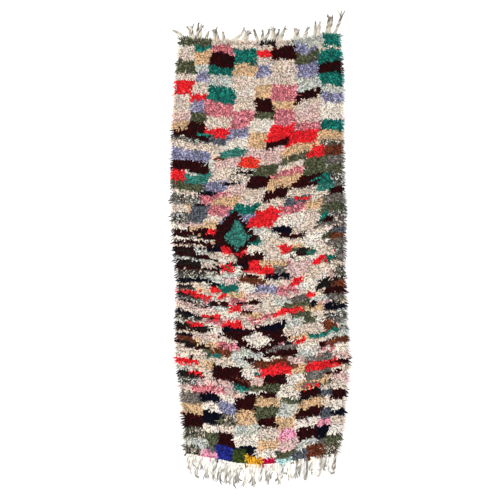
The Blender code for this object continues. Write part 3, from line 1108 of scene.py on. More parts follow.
@dataclass
class Pile:
    """The rug's pile: locks of torn strip and yarn, knotted into the ground a few together.

    The knots lie in courses and in swirls. Their locks lean together, grow longer towards the near
    end and are combed down that way. At the rim they lie outwards and droop to the floor, and here
    and there a long end lies on top. Reaches, heights and lengths of waves are metres. A lock's or a
    knot's sizes and colour are multiplied by draws from the ranges.
    """

    outline: Outline
    patchwork: Patchwork
    rows: int = 358
    columns: int = 146
    bands: int = 5
    root_height: float = 0.0045
    rim_inset: float = 0.005
    jitter: float = 0.42
    course_pitch: float = 0.0157
    course_pull: float = 0.40
    course_from: float = 0.45
    course_wave: float = 0.010
    course_wave_length: float = 0.31
    knot_columns: int = 2
    gathering: float = 0.25
    yarn_mixing: float = 0.003
    strays: float = 0.008
    stray_reach: float = 0.035
    far_reach: float = 0.017
    near_reach: float = 0.023
    reach_range: tuple[float, float] = (0.7, 1.3)
    knot_reach_range: tuple[float, float] = (0.8, 1.2)
    long_ends: float = 0.010
    long_end_reach: float = 2.3
    rim_band: float = 0.026
    rim_reach: float = 0.013
    rim_reach_range: tuple[float, float] = (0.3, 1.3)
    long_rim_locks: float = 0.12
    long_rim_reach: float = 0.014
    far_rim_reach: float = 0.014
    near_rim_share: float = 0.65
    rim_comb: float = 2.6
    far_rim_comb: float = 3.0
    far_height: float = 0.0175
    near_height: float = 0.0170
    rim_height: float = 0.0115
    rim_tip_height: float = 0.0035
    height_range: tuple[float, float] = (0.86, 1.10)
    knot_height_range: tuple[float, float] = (0.84, 1.08)
    far_tip_share: float = 0.70
    tip_droop: float = 0.25
    swell: float = 0.0022
    swell_length: float = 0.31
    lump: float = 0.0016
    lump_length: float = 0.06
    far_swirl: float = 2.1
    near_swirl: float = 1.2
    swirl_length: float = 0.15
    curl: float = 0.35
    curl_length: float = 0.06
    unruliness: float = 0.55
    splay: float = 0.40
    bow: float = 0.30
    arch: float = 1.35
    half_width: float = 0.0038
    half_depth: float = 0.0022
    size_range: tuple[float, float] = (0.7, 1.3)
    turn: float = 0.6
    twist: float = 1.6
    knot_evenness: float = 0.5
    fade: float = 0.07
    fade_length: float = 0.23
    warmth: float = 0.05
    warmth_length: float = 0.161
    tint_range: tuple[float, float] = (0.93, 1.07)
    ring_parts: tuple[float, ...] = (0.0, 0.36, 0.72, 1.0)
    ring_widths: tuple[float, ...] = (0.80, 1.0, 0.80, 0.0)
    # Painted shade at a lock's root, where the locks above it shade it, and painted light on its tip, as
    # shares of its colour by ring; the powers below deepen them from the far end to the near end
    ring_painted_light_and_shade: tuple[float, ...] = (0.30, 0.66, 1.0, 1.16)
    far_painted_shade_power: float = 0.85
    near_painted_shade_power: float = 1.30
    near_painted_shade_from: float = 0.6
    seed: int = 17

    def build(self) -> list[bpy.types.Object]:
        """Builds the pile in bands across the rug.

        Returns:
            The bands, from the far end to the near end.
        """
        chance = np.random.default_rng(self.seed)
        materials = [TORN_STRIPS.material(), ACRYLIC_YARN.material()]
        roots = self._roots(chance)
        spines, side_ways, sizes = self._shape(roots, chance)
        yarns = self._yarns(roots, chance)
        colours = self._colours(yarns, spines[:, 0, 0], spines[:, 0, 1], roots, chance)
        finishes = np.array([int(yarn.fibre is Fibre.GLOSSY) for yarn in YARNS])[yarns]
        widths = np.array(self.ring_widths) * self.half_width * sizes[:, None]
        depths = np.array(self.ring_widths) * self.half_depth * sizes[:, None]
        count, rings = len(yarns), len(self.ring_parts)
        turns = (chance.uniform(-self.turn, self.turn, (count, 1))
                 + np.linspace(0.0, 1.0, rings) * chance.uniform(-self.twist, self.twist, (count, 1)))

        pieces = []
        bundle = TubeBundle(rings=rings, sides=3, pointed=True)
        for band, chosen in enumerate(np.array_split(np.arange(count), self.bands)):
            piece = bundle.build(f"pile_band_{band + 1}", spines[chosen], side_ways[chosen],
                                 widths[chosen], depths[chosen], colours[chosen], finishes[chosen],
                                 turns[chosen])
            for material in materials:
                piece.data.materials.append(material)
            pieces.append(piece)
        return pieces

    def _roots(self, chance: np.random.Generator) -> Roots:
        """Sets out the locks' roots, drawn together into courses of knots.

        Args:
            chance: The random draws.

        Returns:
            The roots.
        """
        row, column = (numbers.ravel() for numbers in np.mgrid[0:self.rows, 0:self.columns])
        moved = chance.uniform(-self.jitter, self.jitter, (len(row), 2))
        along = (row + 0.5 + moved[:, 0]) / self.rows
        across = (column + 0.5 + (row % 2) * 0.5 - 0.25 + moved[:, 1]) / self.columns
        x, y = across * self.patchwork.width, along * self.outline.length
        wavy = y + self.course_wave * wander(x, y, self.course_wave_length, 5.0)
        turns = wavy / self.course_pitch
        course = np.floor(turns + 0.5).astype(int)
        pull = self.course_pull * smooth_step(0.0, self.course_from, along)
        along = along + pull * (course - turns) * self.course_pitch / self.outline.length
        places = course * self.columns + (column + course % 2) // self.knot_columns
        _, knot = np.unique(places, return_inverse=True)
        shared = np.bincount(knot)
        return Roots(across, along, knot, (np.bincount(knot, across) / shared)[knot],
                     (np.bincount(knot, along) / shared)[knot])

    def _yarns(self, roots: Roots, chance: np.random.Generator) -> np.ndarray:
        """Chooses each lock's yarn, the same for all of a knot but for a few strays.

        Args:
            roots: The locks' roots.
            chance: The random draws.

        Returns:
            The number of each lock's yarn in YARNS.
        """
        count = len(roots.knot)
        spread = np.where(chance.random(count) < self.strays, self.stray_reach, self.yarn_mixing)
        moved = chance.uniform(-1.0, 1.0, (count, 2)) * spread[:, None]
        across = roots.knot_across + moved[:, 0] / self.patchwork.width
        along = roots.knot_along + moved[:, 1] / self.patchwork.length
        yarns = self.patchwork.yarns_at(np.clip(across, 0.0, 1.0), np.clip(along, 0.0, 1.0))
        for mixed, parts in MIXED_YARNS.items():
            here = yarns == mixed.number
            drawn = chance.integers(0, len(parts), count)
            yarns = np.where(here, np.array([part.number for part in parts])[drawn], yarns)
        return yarns

    def _colours(self, yarns: np.ndarray, x: np.ndarray, y: np.ndarray, roots: Roots,
                 chance: np.random.Generator) -> np.ndarray:
        """Colours the locks, with painted shade at their roots and painted light on their tips, no two
        quite alike.

        Args:
            yarns: The number of each lock's yarn.
            x: The roots' X in metres.
            y: The roots' Y in metres.
            roots: The locks' roots.
            chance: The random draws.

        Returns:
            The linear colours, locks by rings by 3.
        """
        count = len(yarns)
        unevenness = np.array([yarn.unevenness for yarn in YARNS])[yarns]
        knot_draw = chance.normal(0.0, self.knot_evenness, count)[roots.knot]
        dyed = np.exp(unevenness * np.clip(chance.normal(0.0, 1.0, count) + knot_draw, -2.0, 2.0))
        faded = 1.0 + self.fade * wander(x, y, self.fade_length, 8.0)
        warmth = self.warmth * wander(x, y, self.warmth_length, 9.0)
        tint = 1.0 + np.stack([warmth, 0.2 * warmth, -warmth], axis=1)
        tint = tint * chance.uniform(*self.tint_range, (count, 3))
        dye = yarn_colours()[yarns] * (dyed * faded)[:, None] * tint
        # Painted shade and light along each lock, stronger towards the near end
        nearness = smooth_step(0.0, self.near_painted_shade_from, roots.along)
        depth = self.far_painted_shade_power + (self.near_painted_shade_power - self.far_painted_shade_power) * nearness
        shades = np.array(self.ring_painted_light_and_shade)[None, :] ** depth[:, None]
        return np.clip(dye[:, None, :] * shades[..., None], 0.0, 1.0)

    def _shape(self, roots: Roots,
               chance: np.random.Generator) -> tuple[np.ndarray, np.ndarray, np.ndarray]:
        """Works out how each lock lies.

        Args:
            roots: The locks' roots.
            chance: The random draws.

        Returns:
            The locks' spines, their directions across their width, and their relative sizes.
        """
        at = self._setting(roots)
        count = len(at.knot)
        way = self._ways(at, chance)
        is_long = (chance.random(count) < self.long_ends) & (at.rim < 0.2)
        reach = self._reaches(at, is_long, chance)
        height = self._heights(at, chance)
        tip_share = np.where(is_long, 1.0, self.far_tip_share - self.tip_droop * at.combed)
        tip_height = tip_share * height * (1.0 - at.rim)
        tip_height += at.rim * (self.rim_tip_height - self.root_height)

        part = np.array(self.ring_parts)[None, :]
        bulge = 2.0 * part * (1.0 - part)
        spine_out = reach[:, None] * (self.bow * bulge + part * part)
        spine_up = height[:, None] * self.arch * bulge + tip_height[:, None] * part * part
        knot_x, knot_y = self.outline.place(roots.knot_across, roots.knot_along)
        drawn = self.gathering * (1.0 - at.rim)[:, None] * part
        spines = np.stack([
            at.x[:, None] + way[:, :1] * spine_out + (knot_x - at.x)[:, None] * drawn,
            at.y[:, None] + way[:, 1:] * spine_out + (knot_y - at.y)[:, None] * drawn,
            self.root_height + spine_up,
        ], axis=2)
        side_ways = np.stack([-way[:, 1], way[:, 0], np.zeros(count)], axis=1)
        return spines, side_ways, chance.uniform(*self.size_range, count)

    def _setting(self, roots: Roots) -> Setting:
        """Works out what shapes each lock, from where it is rooted.

        Args:
            roots: The locks' roots.

        Returns:
            What shapes the locks.
        """
        across = np.clip(roots.across, 0.002, 0.998)
        along = np.clip(roots.along, 0.001, 0.999)
        x, y = self.outline.place(across, along)
        left, right = self.outline.sides(along)
        width, length = left + right, self.outline.length
        distances = (across * width, (1.0 - across) * width, along * length, (1.0 - along) * length)
        pulls = [1.0 - smooth_step(0.0, self.rim_band, distance + self.rim_inset)
                 for distance in distances]
        rim = np.clip(sum(pulls), 0.0, 1.0)
        return Setting(x, y, roots.knot, smooth_step(0.0, 1.0, along), rim, pulls)

    def _ways(self, at: Setting, chance: np.random.Generator) -> np.ndarray:
        """Works out which way each lock lies, combed to the near end in swirls and outwards at the rim.

        Args:
            at: What shapes the locks.
            chance: The random draws.

        Returns:
            The locks' directions, locks by 2.
        """
        count = len(at.knot)
        swirl = self.far_swirl + (self.near_swirl - self.far_swirl) * at.combed
        swirls = (wander(at.x, at.y, self.swirl_length, 6.0)
                  + self.curl * wander(at.x, at.y, self.curl_length, 6.5))
        angle = (-0.5 * math.pi + swirl * swirls
                 + chance.normal(0.0, self.unruliness, count)[at.knot]
                 + chance.normal(0.0, self.splay, count))
        left, right, far, near = at.pulls
        way = np.stack([np.cos(angle) - self.rim_comb * left + self.rim_comb * right,
                        np.sin(angle) + self.far_rim_comb * far - self.rim_comb * near], axis=1)
        return way / np.linalg.norm(way, axis=1, keepdims=True)

    def _reaches(self, at: Setting, is_long: np.ndarray, chance: np.random.Generator) -> np.ndarray:
        """Works out how far each lock reaches out from its root.

        Args:
            at: What shapes the locks.
            is_long: Which locks are long ends.
            chance: The random draws.

        Returns:
            The locks' reaches in metres.
        """
        count = len(at.knot)
        reach = self.far_reach + (self.near_reach - self.far_reach) * at.combed
        reach = reach * chance.uniform(*self.reach_range, count)
        reach *= np.where(is_long, self.long_end_reach, 1.0)
        reach *= chance.uniform(*self.knot_reach_range, count)[at.knot]
        reach += self.rim_reach * at.rim * chance.uniform(*self.rim_reach_range, count)
        reach += self.long_rim_reach * at.rim * (chance.random(count) < self.long_rim_locks)
        reach += self.far_rim_reach * at.pulls[2] * chance.random(count) ** 2
        return reach * (1.0 - (1.0 - self.near_rim_share) * at.pulls[3])

    def _heights(self, at: Setting, chance: np.random.Generator) -> np.ndarray:
        """Works out how high each lock stands, over the same low swells as the solid's top.

        Args:
            at: What shapes the locks.
            chance: The random draws.

        Returns:
            The locks' heights in metres.
        """
        count = len(at.knot)
        middle_height = self.far_height + (self.near_height - self.far_height) * at.combed
        height = middle_height + (self.rim_height - middle_height) * at.rim
        turn = 2.0 * math.pi / self.swell_length
        swell = (self.swell * np.sin(turn * (at.x + 0.6 * at.y))
                 * np.cos(turn * (0.7 * at.y - 0.4 * at.x)))
        lumps = self.lump * wander(at.x, at.y, self.lump_length, 7.0)
        height = (height + swell + lumps) * chance.uniform(*self.height_range, count)
        return height * chance.uniform(*self.knot_height_range, count)[at.knot]


class Tassel(NamedTuple):
    """A cluster of warp ends at the far end. A positive lean is to the left, and fan is its spread."""

    share: float
    strands: int
    lean_deg: float
    fan_deg: float
    length: float


TASSELS = (
    Tassel(share=0.020, strands=1, lean_deg=62.0, fan_deg=0.0, length=0.092),
    Tassel(share=0.074, strands=2, lean_deg=17.0, fan_deg=12.0, length=0.092),
    Tassel(share=0.116, strands=2, lean_deg=-15.0, fan_deg=12.0, length=0.104),
    Tassel(share=0.160, strands=1, lean_deg=-24.0, fan_deg=0.0, length=0.068),
    Tassel(share=0.236, strands=2, lean_deg=10.0, fan_deg=14.0, length=0.088),
    Tassel(share=0.284, strands=1, lean_deg=8.0, fan_deg=0.0, length=0.068),
    Tassel(share=0.316, strands=1, lean_deg=-42.0, fan_deg=0.0, length=0.126),
    Tassel(share=0.400, strands=2, lean_deg=-30.0, fan_deg=16.0, length=0.082),
    Tassel(share=0.506, strands=3, lean_deg=-2.0, fan_deg=40.0, length=0.086),
    Tassel(share=0.605, strands=5, lean_deg=-14.0, fan_deg=34.0, length=0.094),
    Tassel(share=0.734, strands=2, lean_deg=-4.0, fan_deg=12.0, length=0.078),
    Tassel(share=0.780, strands=2, lean_deg=-24.0, fan_deg=10.0, length=0.092),
    Tassel(share=0.858, strands=3, lean_deg=-8.0, fan_deg=8.0, length=0.104),
    Tassel(share=0.931, strands=3, lean_deg=-5.0, fan_deg=8.0, length=0.126),
    Tassel(share=0.974, strands=1, lean_deg=-14.0, fan_deg=0.0, length=0.162),
)


class ReachStation(NamedTuple):
    """How long the near end's warp ends are, at a share of the way across."""

    share: float
    length: float


WARP_END_REACH = (
    ReachStation(share=0.00, length=0.100),
    ReachStation(share=0.07, length=0.140),
    ReachStation(share=0.32, length=0.142),
    ReachStation(share=0.50, length=0.118),
    ReachStation(share=0.93, length=0.112),
    ReachStation(share=1.00, length=0.098),
)


class Route(NamedTuple):
    """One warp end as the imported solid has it: its root, its tip and its sideways wave, in metres."""

    root: np.ndarray
    tip: np.ndarray
    wave: float


class Loop(NamedTuple):
    """Two warp ends that were never cut apart: their numbers, and how far their loop reaches out."""

    first: int
    last: int
    depth: float


LOOPS = (
    Loop(first=6, last=8, depth=0.088), Loop(first=20, last=21, depth=0.104),
    Loop(first=26, last=27, depth=0.092), Loop(first=29, last=31, depth=0.094),
    Loop(first=33, last=34, depth=0.122), Loop(first=36, last=38, depth=0.118),
    Loop(first=40, last=42, depth=0.112),
)

# The numbers of the most curled warp ends, each with how far it turns by its tip, in radians
CURLED = {4: 2.4, 10: -3.0, 11: 1.6, 15: -2.6, 17: 3.2, 24: -2.8, 30: 4.4, 35: -4.4, 37: 2.8}


@dataclass(frozen=True)
class StrandStyle:
    """How the warp ends of one end of the rug are spun.

    Lengths are metres, and a twist is how far the plies run in one turn. The plies part from a share
    of the length on. Their thickness and their greyness change from root to tip. A warp end's or a
    ply's sizes and colour are multiplied by draws from the ranges.
    """

    plies: int
    ply_radius: float
    ply_offset: float
    twist: float
    bend: float
    loosened_from: float
    splay: float
    root_height: float
    root_inset: float
    root_colour: str
    tip_colour: str
    mottle: float
    thickness: tuple[float, ...]
    thickness_at: tuple[float, ...] = (0.0, 0.35, 0.7, 1.0)
    root_fall: int = 6
    greyness: tuple[float, float] = (-0.1, 0.9)
    shade_range: tuple[float, float] = (0.92, 1.06)
    twist_range: tuple[float, float] = (0.85, 1.25)
    splay_range: tuple[float, float] = (0.15, 1.25)
    ply_splay_range: tuple[float, float] = (0.3, 1.3)
    ply_size_range: tuple[float, float] = (0.85, 1.1)
    ply_length_range: tuple[float, float] = (0.90, 1.0)


FAR_STRANDS = StrandStyle(
    plies=3, ply_radius=0.0048, ply_offset=0.0054, twist=0.045, bend=1.5, loosened_from=0.46,
    splay=0.0200, root_height=0.006, root_inset=0.004, root_colour="#C8BFAF", tip_colour="#565048",
    mottle=0.70, thickness=(0.80, 1.15, 1.0, 0.45))
NEAR_STRANDS = StrandStyle(
    plies=3, ply_radius=0.0037, ply_offset=0.0046, twist=0.046, bend=0.9, loosened_from=0.40,
    splay=0.0130, root_height=0.0145, root_inset=0.020, root_colour="#EDE8DD", tip_colour="#746E66",
    mottle=0.50, thickness=(1.15, 1.0, 1.0, 0.55))


@dataclass
class Fringe:
    """One end's finish: a heading of twined cords, and the warp ends that hang out of it.

    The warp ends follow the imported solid's routes, from the same tables and random draws. The plies
    of a heading cord wind at a radius that is a share of the cord's breadth. Their half width is a
    multiple of that radius, and their half depth a share of the heading's height.
    """

    end: End
    outline: Outline
    seam_gap: float = 0.0006
    heading_depth: float = 0.011
    heading_height: float = 0.006
    heading_cords: int = 3
    heading_rings: int = 320
    heading_twist: float = 0.024
    heading_inset: float = 0.002
    heading_start: float = 0.21
    cord_radius: float = 0.30
    cord_ply_width: float = 1.35
    cord_ply_depth: float = 0.26
    tassel_spacing: float = 0.016
    tassel_wave: float = 0.002
    tassel_range: tuple[float, float] = (0.86, 1.08)
    warp_end_width: float = 0.0105
    warp_end_count: int = 43
    warp_end_spread: float = 0.020
    warp_end_drift: float = 0.013
    warp_end_wave: float = 0.0045
    strand_clearance: float = 0.003
    companion_gap: float = 0.0115
    companion_reach: float = 0.013
    companion_range: tuple[float, float] = (0.55, 1.05)
    strand_rings: int = 26
    strand_flatness: float = 0.62
    wobble: float = 0.16
    wobble_range: tuple[float, float] = (1.2, 2.2)
    counter_bend: float = 0.25
    wave_bend: float = 40.0
    straightness: float = 0.90
    loop_rings: int = 44
    loop_bulge: float = 0.30
    loop_bluntness: float = 0.8
    solid_seed: int = 41
    seed: int = 5

    @property
    def style(self) -> StrandStyle:
        """How this end's warp ends are spun."""
        return FAR_STRANDS if self.end is End.FAR else NEAR_STRANDS

    def _root(self, share: float) -> np.ndarray:
        """The point of the heading's outer edge at a share across."""
        x, y = self.outline.on_end(np.array([share]), self.end)
        return np.array([x[0], y[0] + self.end.value * (self.seam_gap + self.heading_depth)])

    def _inset(self) -> np.ndarray:
        """How far inside the heading's outer edge a warp end starts, as a step in X and Y."""
        return np.array([0.0, self.end.value * self.style.root_inset])

    def _tassel_routes(self) -> list[Route]:
        """Sets out the loose clusters of the far end.

        Returns:
            The warp ends' routes, from left to right.
        """
        chance = random.Random(self.solid_seed + 1)
        routes = []
        for tassel in TASSELS:
            for number in range(tassel.strands):
                order = number - (tassel.strands - 1) / 2
                share = tassel.share + order * self.tassel_spacing / self.outline.end_width(self.end)
                fan = order * tassel.fan_deg / max(tassel.strands - 1, 1)
                lean = math.radians(tassel.lean_deg - fan)
                length = tassel.length * chance.uniform(*self.tassel_range)
                root = self._root(share)
                tip = root + length * np.array([-math.sin(lean), math.cos(lean)])
                routes.append(Route(root, tip, self.tassel_wave * chance.uniform(-1.0, 1.0)))
        return routes

    def _warp_end_routes(self) -> list[Route]:
        """Sets out the close row of the near end.

        Returns:
            The warp ends' routes, from left to right.
        """
        chance = random.Random(self.solid_seed + 2)
        shares, lengths = zip(*WARP_END_REACH)
        routes = []
        last_tip = -math.inf
        for number in range(self.warp_end_count):
            share = (number + 0.5) / self.warp_end_count
            root = self._root(share)
            length = (float(self.outline.between(shares, lengths, np.array([share]))[0])
                      + self.warp_end_spread * chance.uniform(-1.0, 1.0))
            drift = self.warp_end_drift * chance.uniform(-1.0, 1.0)
            tip = max(root[0] + drift, last_tip + self.warp_end_width + self.strand_clearance)
            last_tip = tip
            wave = self.warp_end_wave * chance.uniform(-1.0, 1.0)
            routes.append(Route(root, np.array([tip, root[1] - length]), wave))
        return routes

    def _companion(self, route: Route, chance: np.random.Generator) -> Route:
        """The route of a warp end's second yarn, mostly a shorter one, which hangs beside the first.

        Args:
            route: The first yarn's route.
            chance: The random draws.

        Returns:
            The second yarn's route.
        """
        root = route.root + np.array([self.companion_gap, 0.0])
        aside = np.array([self.companion_reach * chance.uniform(-1.0, 1.0), 0.0])
        tip = root + (route.tip - route.root) * chance.uniform(*self.companion_range) + aside
        return Route(root, tip, -route.wave)

    def _bend(self, chance: np.random.Generator) -> float:
        """Draws how far a loose warp end turns by its tip, in radians."""
        return self.style.bend * chance.uniform(-1.0, 1.0)

    def _free_line(self, route: Route, bend: float, chance: np.random.Generator) -> np.ndarray:
        """The middle line of a loose warp end, seen from above.

        Args:
            route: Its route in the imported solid.
            bend: How far it turns by its tip, in radians.
            chance: The random draws.

        Returns:
            The line's X and Y, rings by 2.
        """
        part = np.linspace(0.0, 1.0, self.strand_rings)
        root = route.root - self._inset()
        line = route.tip - root
        length = float(np.linalg.norm(line))
        waves = part * chance.uniform(*self.wobble_range) + chance.random()
        wobble = self.wobble * np.sin(2.0 * math.pi * waves)
        angle = (math.atan2(line[1], line[0]) + bend * (part ** 3 - self.counter_bend)
                 + wobble * part + self.wave_bend * route.wave * np.cos(2.0 * math.pi * part))
        steps = np.column_stack([np.cos(angle), np.sin(angle)])[:-1]
        path = np.concatenate([np.zeros((1, 2)), np.cumsum(steps, axis=0)])
        straightness = float(path[-1] @ line) / length / (self.strand_rings - 1)
        step = length / (self.strand_rings - 1) / max(straightness, self.straightness)
        return root + path * step

    def _loop_line(self, loop: Loop, routes: list[Route]) -> np.ndarray:
        """The middle line of a loop, seen from above: out from one root and back to the other.

        Args:
            loop: The loop.
            routes: The warp ends' routes.

        Returns:
            The line's X and Y, rings by 2.
        """
        turn = np.linspace(0.0, math.pi, self.loop_rings)
        first, last = (routes[number].root - self._inset() for number in (loop.first, loop.last))
        bulge = 1.0 + self.loop_bulge * np.sin(turn)
        line = (first + last) / 2.0 + np.outer(np.cos(turn) * bulge, (first - last) / 2.0)
        outward = self.end.value * (loop.depth + self.style.root_inset)
        line[:, 1] += outward * np.sin(turn) ** self.loop_bluntness
        return line

    def _ply_spines(self, flat: np.ndarray, is_loop: bool, chance: np.random.Generator
                    ) -> tuple[np.ndarray, np.ndarray]:
        """Winds the plies of one warp end round its middle line, and lets them part at a cut tip.

        Args:
            flat: The middle line's X and Y, rings by 2.
            is_loop: Whether the line comes back to the heading.
            chance: The random draws.

        Returns:
            The plies' spines, plies by rings by 3, and their radii, plies by rings.
        """
        style = self.style
        rings = len(flat)
        part = np.linspace(0.0, 1.0, rings)
        out = 1.0 - np.abs(1.0 - 2.0 * part) if is_loop else part
        loosened = np.zeros(rings) if is_loop else smooth_step(style.loosened_from, 1.0, part)
        tangents = np.gradient(flat, axis=0)
        tangents /= np.linalg.norm(tangents, axis=1, keepdims=True)
        side = np.column_stack([-tangents[:, 1], tangents[:, 0]])
        steps = np.concatenate([[0.0], np.linalg.norm(np.diff(flat, axis=0), axis=1)])
        twist = style.twist * chance.uniform(*style.twist_range)
        turns = np.cumsum(steps * (1.0 - loosened)) / twist
        start = chance.random()
        thickness = style.ply_radius * np.interp(out, style.thickness_at, style.thickness)
        if is_loop:
            thickness = np.full(rings, style.ply_radius)
        offset = style.ply_offset * thickness / style.ply_radius
        lying = thickness.mean() + offset.mean() * self.strand_flatness
        height = lying + (style.root_height - lying) * (1.0 - out) ** style.root_fall
        spread = style.splay * chance.uniform(*style.splay_range)
        spines, radii = [], []
        for ply in range(style.plies):
            angle = 2.0 * math.pi * (turns + start + ply / style.plies)
            apart = (2.0 * ply / (style.plies - 1) - 1.0) * spread
            apart *= chance.uniform(*style.ply_splay_range)
            level = np.cos(angle) * offset * (1.0 - loosened) + apart * loosened ** 2
            radius = thickness * chance.uniform(*style.ply_size_range)
            upward = height + np.sin(angle) * offset * self.strand_flatness * (1.0 - loosened)
            upward = upward * (1.0 - loosened) + radius * loosened
            spine = np.column_stack([flat + side * level[:, None], np.maximum(upward, radius)])
            cut = 1.0 if is_loop else chance.uniform(*style.ply_length_range)
            spines.append(np.column_stack([np.interp(part * cut, part, spine[:, axis])
                                           for axis in range(3)]))
            radii.append(np.interp(part, part * cut + (1.0 - cut) * part, radius))
        return np.array(spines), np.array(radii)

    def _yarn_colours(self, count: int, rings: int, chance: np.random.Generator) -> np.ndarray:
        """Colours undyed plies, which grow greyer towards their tips.

        Args:
            count: How many plies there are.
            rings: How many rings each has.
            chance: The random draws.

        Returns:
            The linear colours, plies by rings by 3.
        """
        style = self.style
        mottled = chance.uniform(-style.mottle, style.mottle, (count, 1))
        share = np.clip(np.linspace(*style.greyness, rings)[None, :] + mottled, 0.0, 1.0)[..., None]
        root, tip = np.array(srgb(style.root_colour)), np.array(srgb(style.tip_colour))
        shades = chance.uniform(*style.shade_range, (count, rings, 1))
        return np.clip((root + (tip - root) * share) * shades, 0.0, 1.0)

    def _build_plies(self, name: str, spines: np.ndarray, side_way: tuple[float, float, float],
                     half_widths: np.ndarray, half_depths: np.ndarray,
                     chance: np.random.Generator) -> bpy.types.Object:
        """Builds plies of undyed yarn along their spines.

        Args:
            name: The piece's name.
            spines: The plies' ring middles, plies by rings by 3.
            side_way: A direction across all the plies, which none of them runs along.
            half_widths: Plies by rings, in metres.
            half_depths: Plies by rings, in metres.
            chance: The random draws.

        Returns:
            The new object.
        """
        count, rings = half_widths.shape
        piece = TubeBundle(rings=rings, sides=5).build(
            name, spines, np.tile(np.array([side_way]), (count, 1)), half_widths, half_depths,
            self._yarn_colours(count, rings, chance), np.zeros(count, dtype=int))
        piece.data.materials.append(WARP_YARN.material())
        return piece

    def _build_strands(self, name: str, lines: list[np.ndarray], is_loop: bool,
                       chance: np.random.Generator) -> bpy.types.Object:
        """Builds warp ends along their middle lines.

        Args:
            name: The piece's name.
            lines: The middle lines, each rings by 2.
            is_loop: Whether they are loops.
            chance: The random draws.

        Returns:
            The new object.
        """
        spun = [self._ply_spines(line, is_loop, chance) for line in lines]
        spines = np.concatenate([spines for spines, _ in spun])
        radii = np.concatenate([radii for _, radii in spun])
        return self._build_plies(name, spines, (0.31, 0.0, 0.95), radii, radii, chance)

    def build_warp_ends(self) -> list[bpy.types.Object]:
        """Builds the twisted warp ends: loose clusters at the far end, a close row at the near end.

        Returns:
            The piece of the cut ones, and at the near end the piece of the loops too.
        """
        if self.end is End.FAR:
            chance = np.random.default_rng(self.seed)
            routes = self._tassel_routes()
            bends = [self._bend(chance) for _ in routes]
            lines = [self._free_line(route, bend, chance) for route, bend in zip(routes, bends)]
            return [self._build_strands("warp_ends_far", lines, False, chance)]
        chance = np.random.default_rng(self.seed + 1)
        routes = self._warp_end_routes()
        looped = {number for loop in LOOPS for number in (loop.first, loop.last)}
        lines = []
        for number, route in enumerate(routes):
            bend = CURLED.get(number, self._bend(chance))
            if number not in looped:
                lines.append(self._free_line(route, bend, chance))
                beside = self._companion(route, chance)
                lines.append(self._free_line(beside, self._bend(chance), chance))
        loops = [self._loop_line(loop, routes) for loop in LOOPS]
        return [self._build_strands("warp_ends_near", lines, False, chance),
                self._build_strands("warp_loops_near", loops, True, chance)]

    def build_heading(self) -> bpy.types.Object:
        """Builds the heading: cords of two plies twined side by side along the end.

        Returns:
            The heading.
        """
        chance = np.random.default_rng(self.seed + 7)
        shares = np.linspace(self.heading_inset, 1.0 - self.heading_inset, self.heading_rings)
        x, y = self.outline.on_end(shares, self.end)
        pitch = self.heading_depth / self.heading_cords
        radius = pitch * self.cord_radius
        travelled = np.concatenate([[0.0], np.cumsum(np.hypot(np.diff(x), np.diff(y)))])
        spines = []
        for cord in range(self.heading_cords):
            out = self.end.value * (self.seam_gap + pitch * (cord + 0.5))
            for ply in range(2):
                turns = travelled / self.heading_twist + self.heading_start * cord + 0.5 * ply
                angle = 2.0 * math.pi * turns
                spines.append(np.column_stack([
                    x, y + out + radius * np.cos(angle),
                    self.heading_height * 0.5 + radius * self.strand_flatness * np.sin(angle)]))
        spines = np.array(spines)
        half_widths = np.full(spines.shape[:2], radius * self.cord_ply_width)
        half_depths = np.full(spines.shape[:2], self.heading_height * self.cord_ply_depth)
        return self._build_plies(f"heading_{self.end.name.lower()}", spines, (0.0, 1.0, 0.0),
                                 half_widths, half_depths, chance)


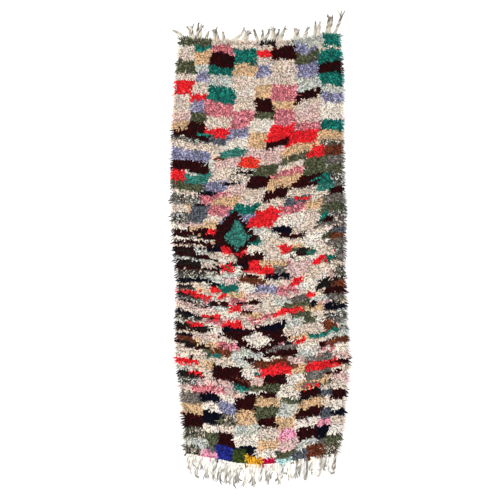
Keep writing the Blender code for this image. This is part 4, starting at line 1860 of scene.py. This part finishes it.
@dataclass
class Studio:
    """The pale floor of matt paper, the soft light and the camera straight above, as in the photo."""

    floor_size: float = 14.0
    floor_drop: float = 0.001
    floor_colour: str = "#FAFAFA"
    floor_roughness: float = 0.9
    world_strength: float = 0.95
    lamp_size: float = 5.0
    lamp_power: float = 300.0
    lamp_place: tuple[float, float, float] = (-1.8, -0.3, 5.0)
    lens: float = 100.0
    sensor: float = 36.0
    frame_width: float = 3.325
    frame_middle: tuple[float, float] = (-0.0599, 0.0166)
    pile_height: float = 0.020

    def build(self) -> None:
        """Builds the floor, the world's light, the lamp and the camera."""
        self._build_floor()
        self._build_light()
        self._build_camera()

    def _build_floor(self) -> None:
        """Builds the plain floor."""
        mesh = bmesh.new()
        bmesh.ops.create_grid(mesh, x_segments=1, y_segments=1, size=self.floor_size / 2.0)
        bmesh.ops.translate(mesh, verts=mesh.verts, vec=(0.0, 0.0, -self.floor_drop))
        floor = add_object("floor", take_mesh("floor", mesh))
        paper, _ = start_material("white_studio_paper", {
            "Base Color": (*srgb(self.floor_colour), 1.0), "Roughness": self.floor_roughness,
            "Specular IOR Level": 0.0})
        floor.data.materials.append(paper)

    def _build_light(self) -> None:
        """Lights the scene evenly, with a little more light from the far left."""
        scene = bpy.context.scene
        world = bpy.data.worlds.new("studio")
        world.use_nodes = True
        background = world.node_tree.nodes["Background"]
        background.inputs["Color"].default_value = (1.0, 1.0, 1.0, 1.0)
        background.inputs["Strength"].default_value = self.world_strength
        scene.world = world
        light = bpy.data.lights.new("soft_box", "AREA")
        light.shape = "SQUARE"
        light.size = self.lamp_size
        light.energy = self.lamp_power
        lamp = add_object("soft_box", light)
        lamp.location = self.lamp_place
        aim = -Vector(self.lamp_place)
        lamp.rotation_euler = aim.to_track_quat("-Z", "Y").to_euler()
        scene.view_settings.view_transform = "Standard"

    def _build_camera(self) -> None:
        """Hangs the camera over the rug, with the far end at the top of its frame."""
        camera_data = bpy.data.cameras.new("camera")
        camera_data.lens = self.lens
        camera_data.sensor_width = self.sensor
        camera = add_object("camera", camera_data)
        height = self.pile_height + self.frame_width * self.lens / self.sensor
        camera.location = (*self.frame_middle, height)
        bpy.context.scene.camera = camera


def take_into_frame(piece: bpy.types.Object, node: str) -> None:
    """Puts a finished piece on the rug's body and in place of its solid.

    Args:
        piece: The piece.
        node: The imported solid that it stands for.
    """
    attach(piece, BODY)
    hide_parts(node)
    piece.data.calc_loop_triangles()
    log.info("%s: %d triangles", piece.name, len(piece.data.loop_triangles))


def main() -> None:
    """Builds the rug piece by piece, then the studio round it."""
    logging.basicConfig(level=logging.INFO, format="%(message)s")
    outline = Outline()
    patchwork = Patchwork()
    ground = GroundWeave(outline, patchwork).build()
    take_into_frame(ground, "pile_field")
    bands = Pile(outline, patchwork).build()
    for band in bands:
        take_into_frame(band, "pile_field")
    for end in End:
        fringe = Fringe(end, outline)
        for piece in (fringe.build_heading(), *fringe.build_warp_ends()):
            take_into_frame(piece, f"fringe_{end.name.lower()}")
    Studio().build()
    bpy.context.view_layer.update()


if __name__ == "__main__":
    main()
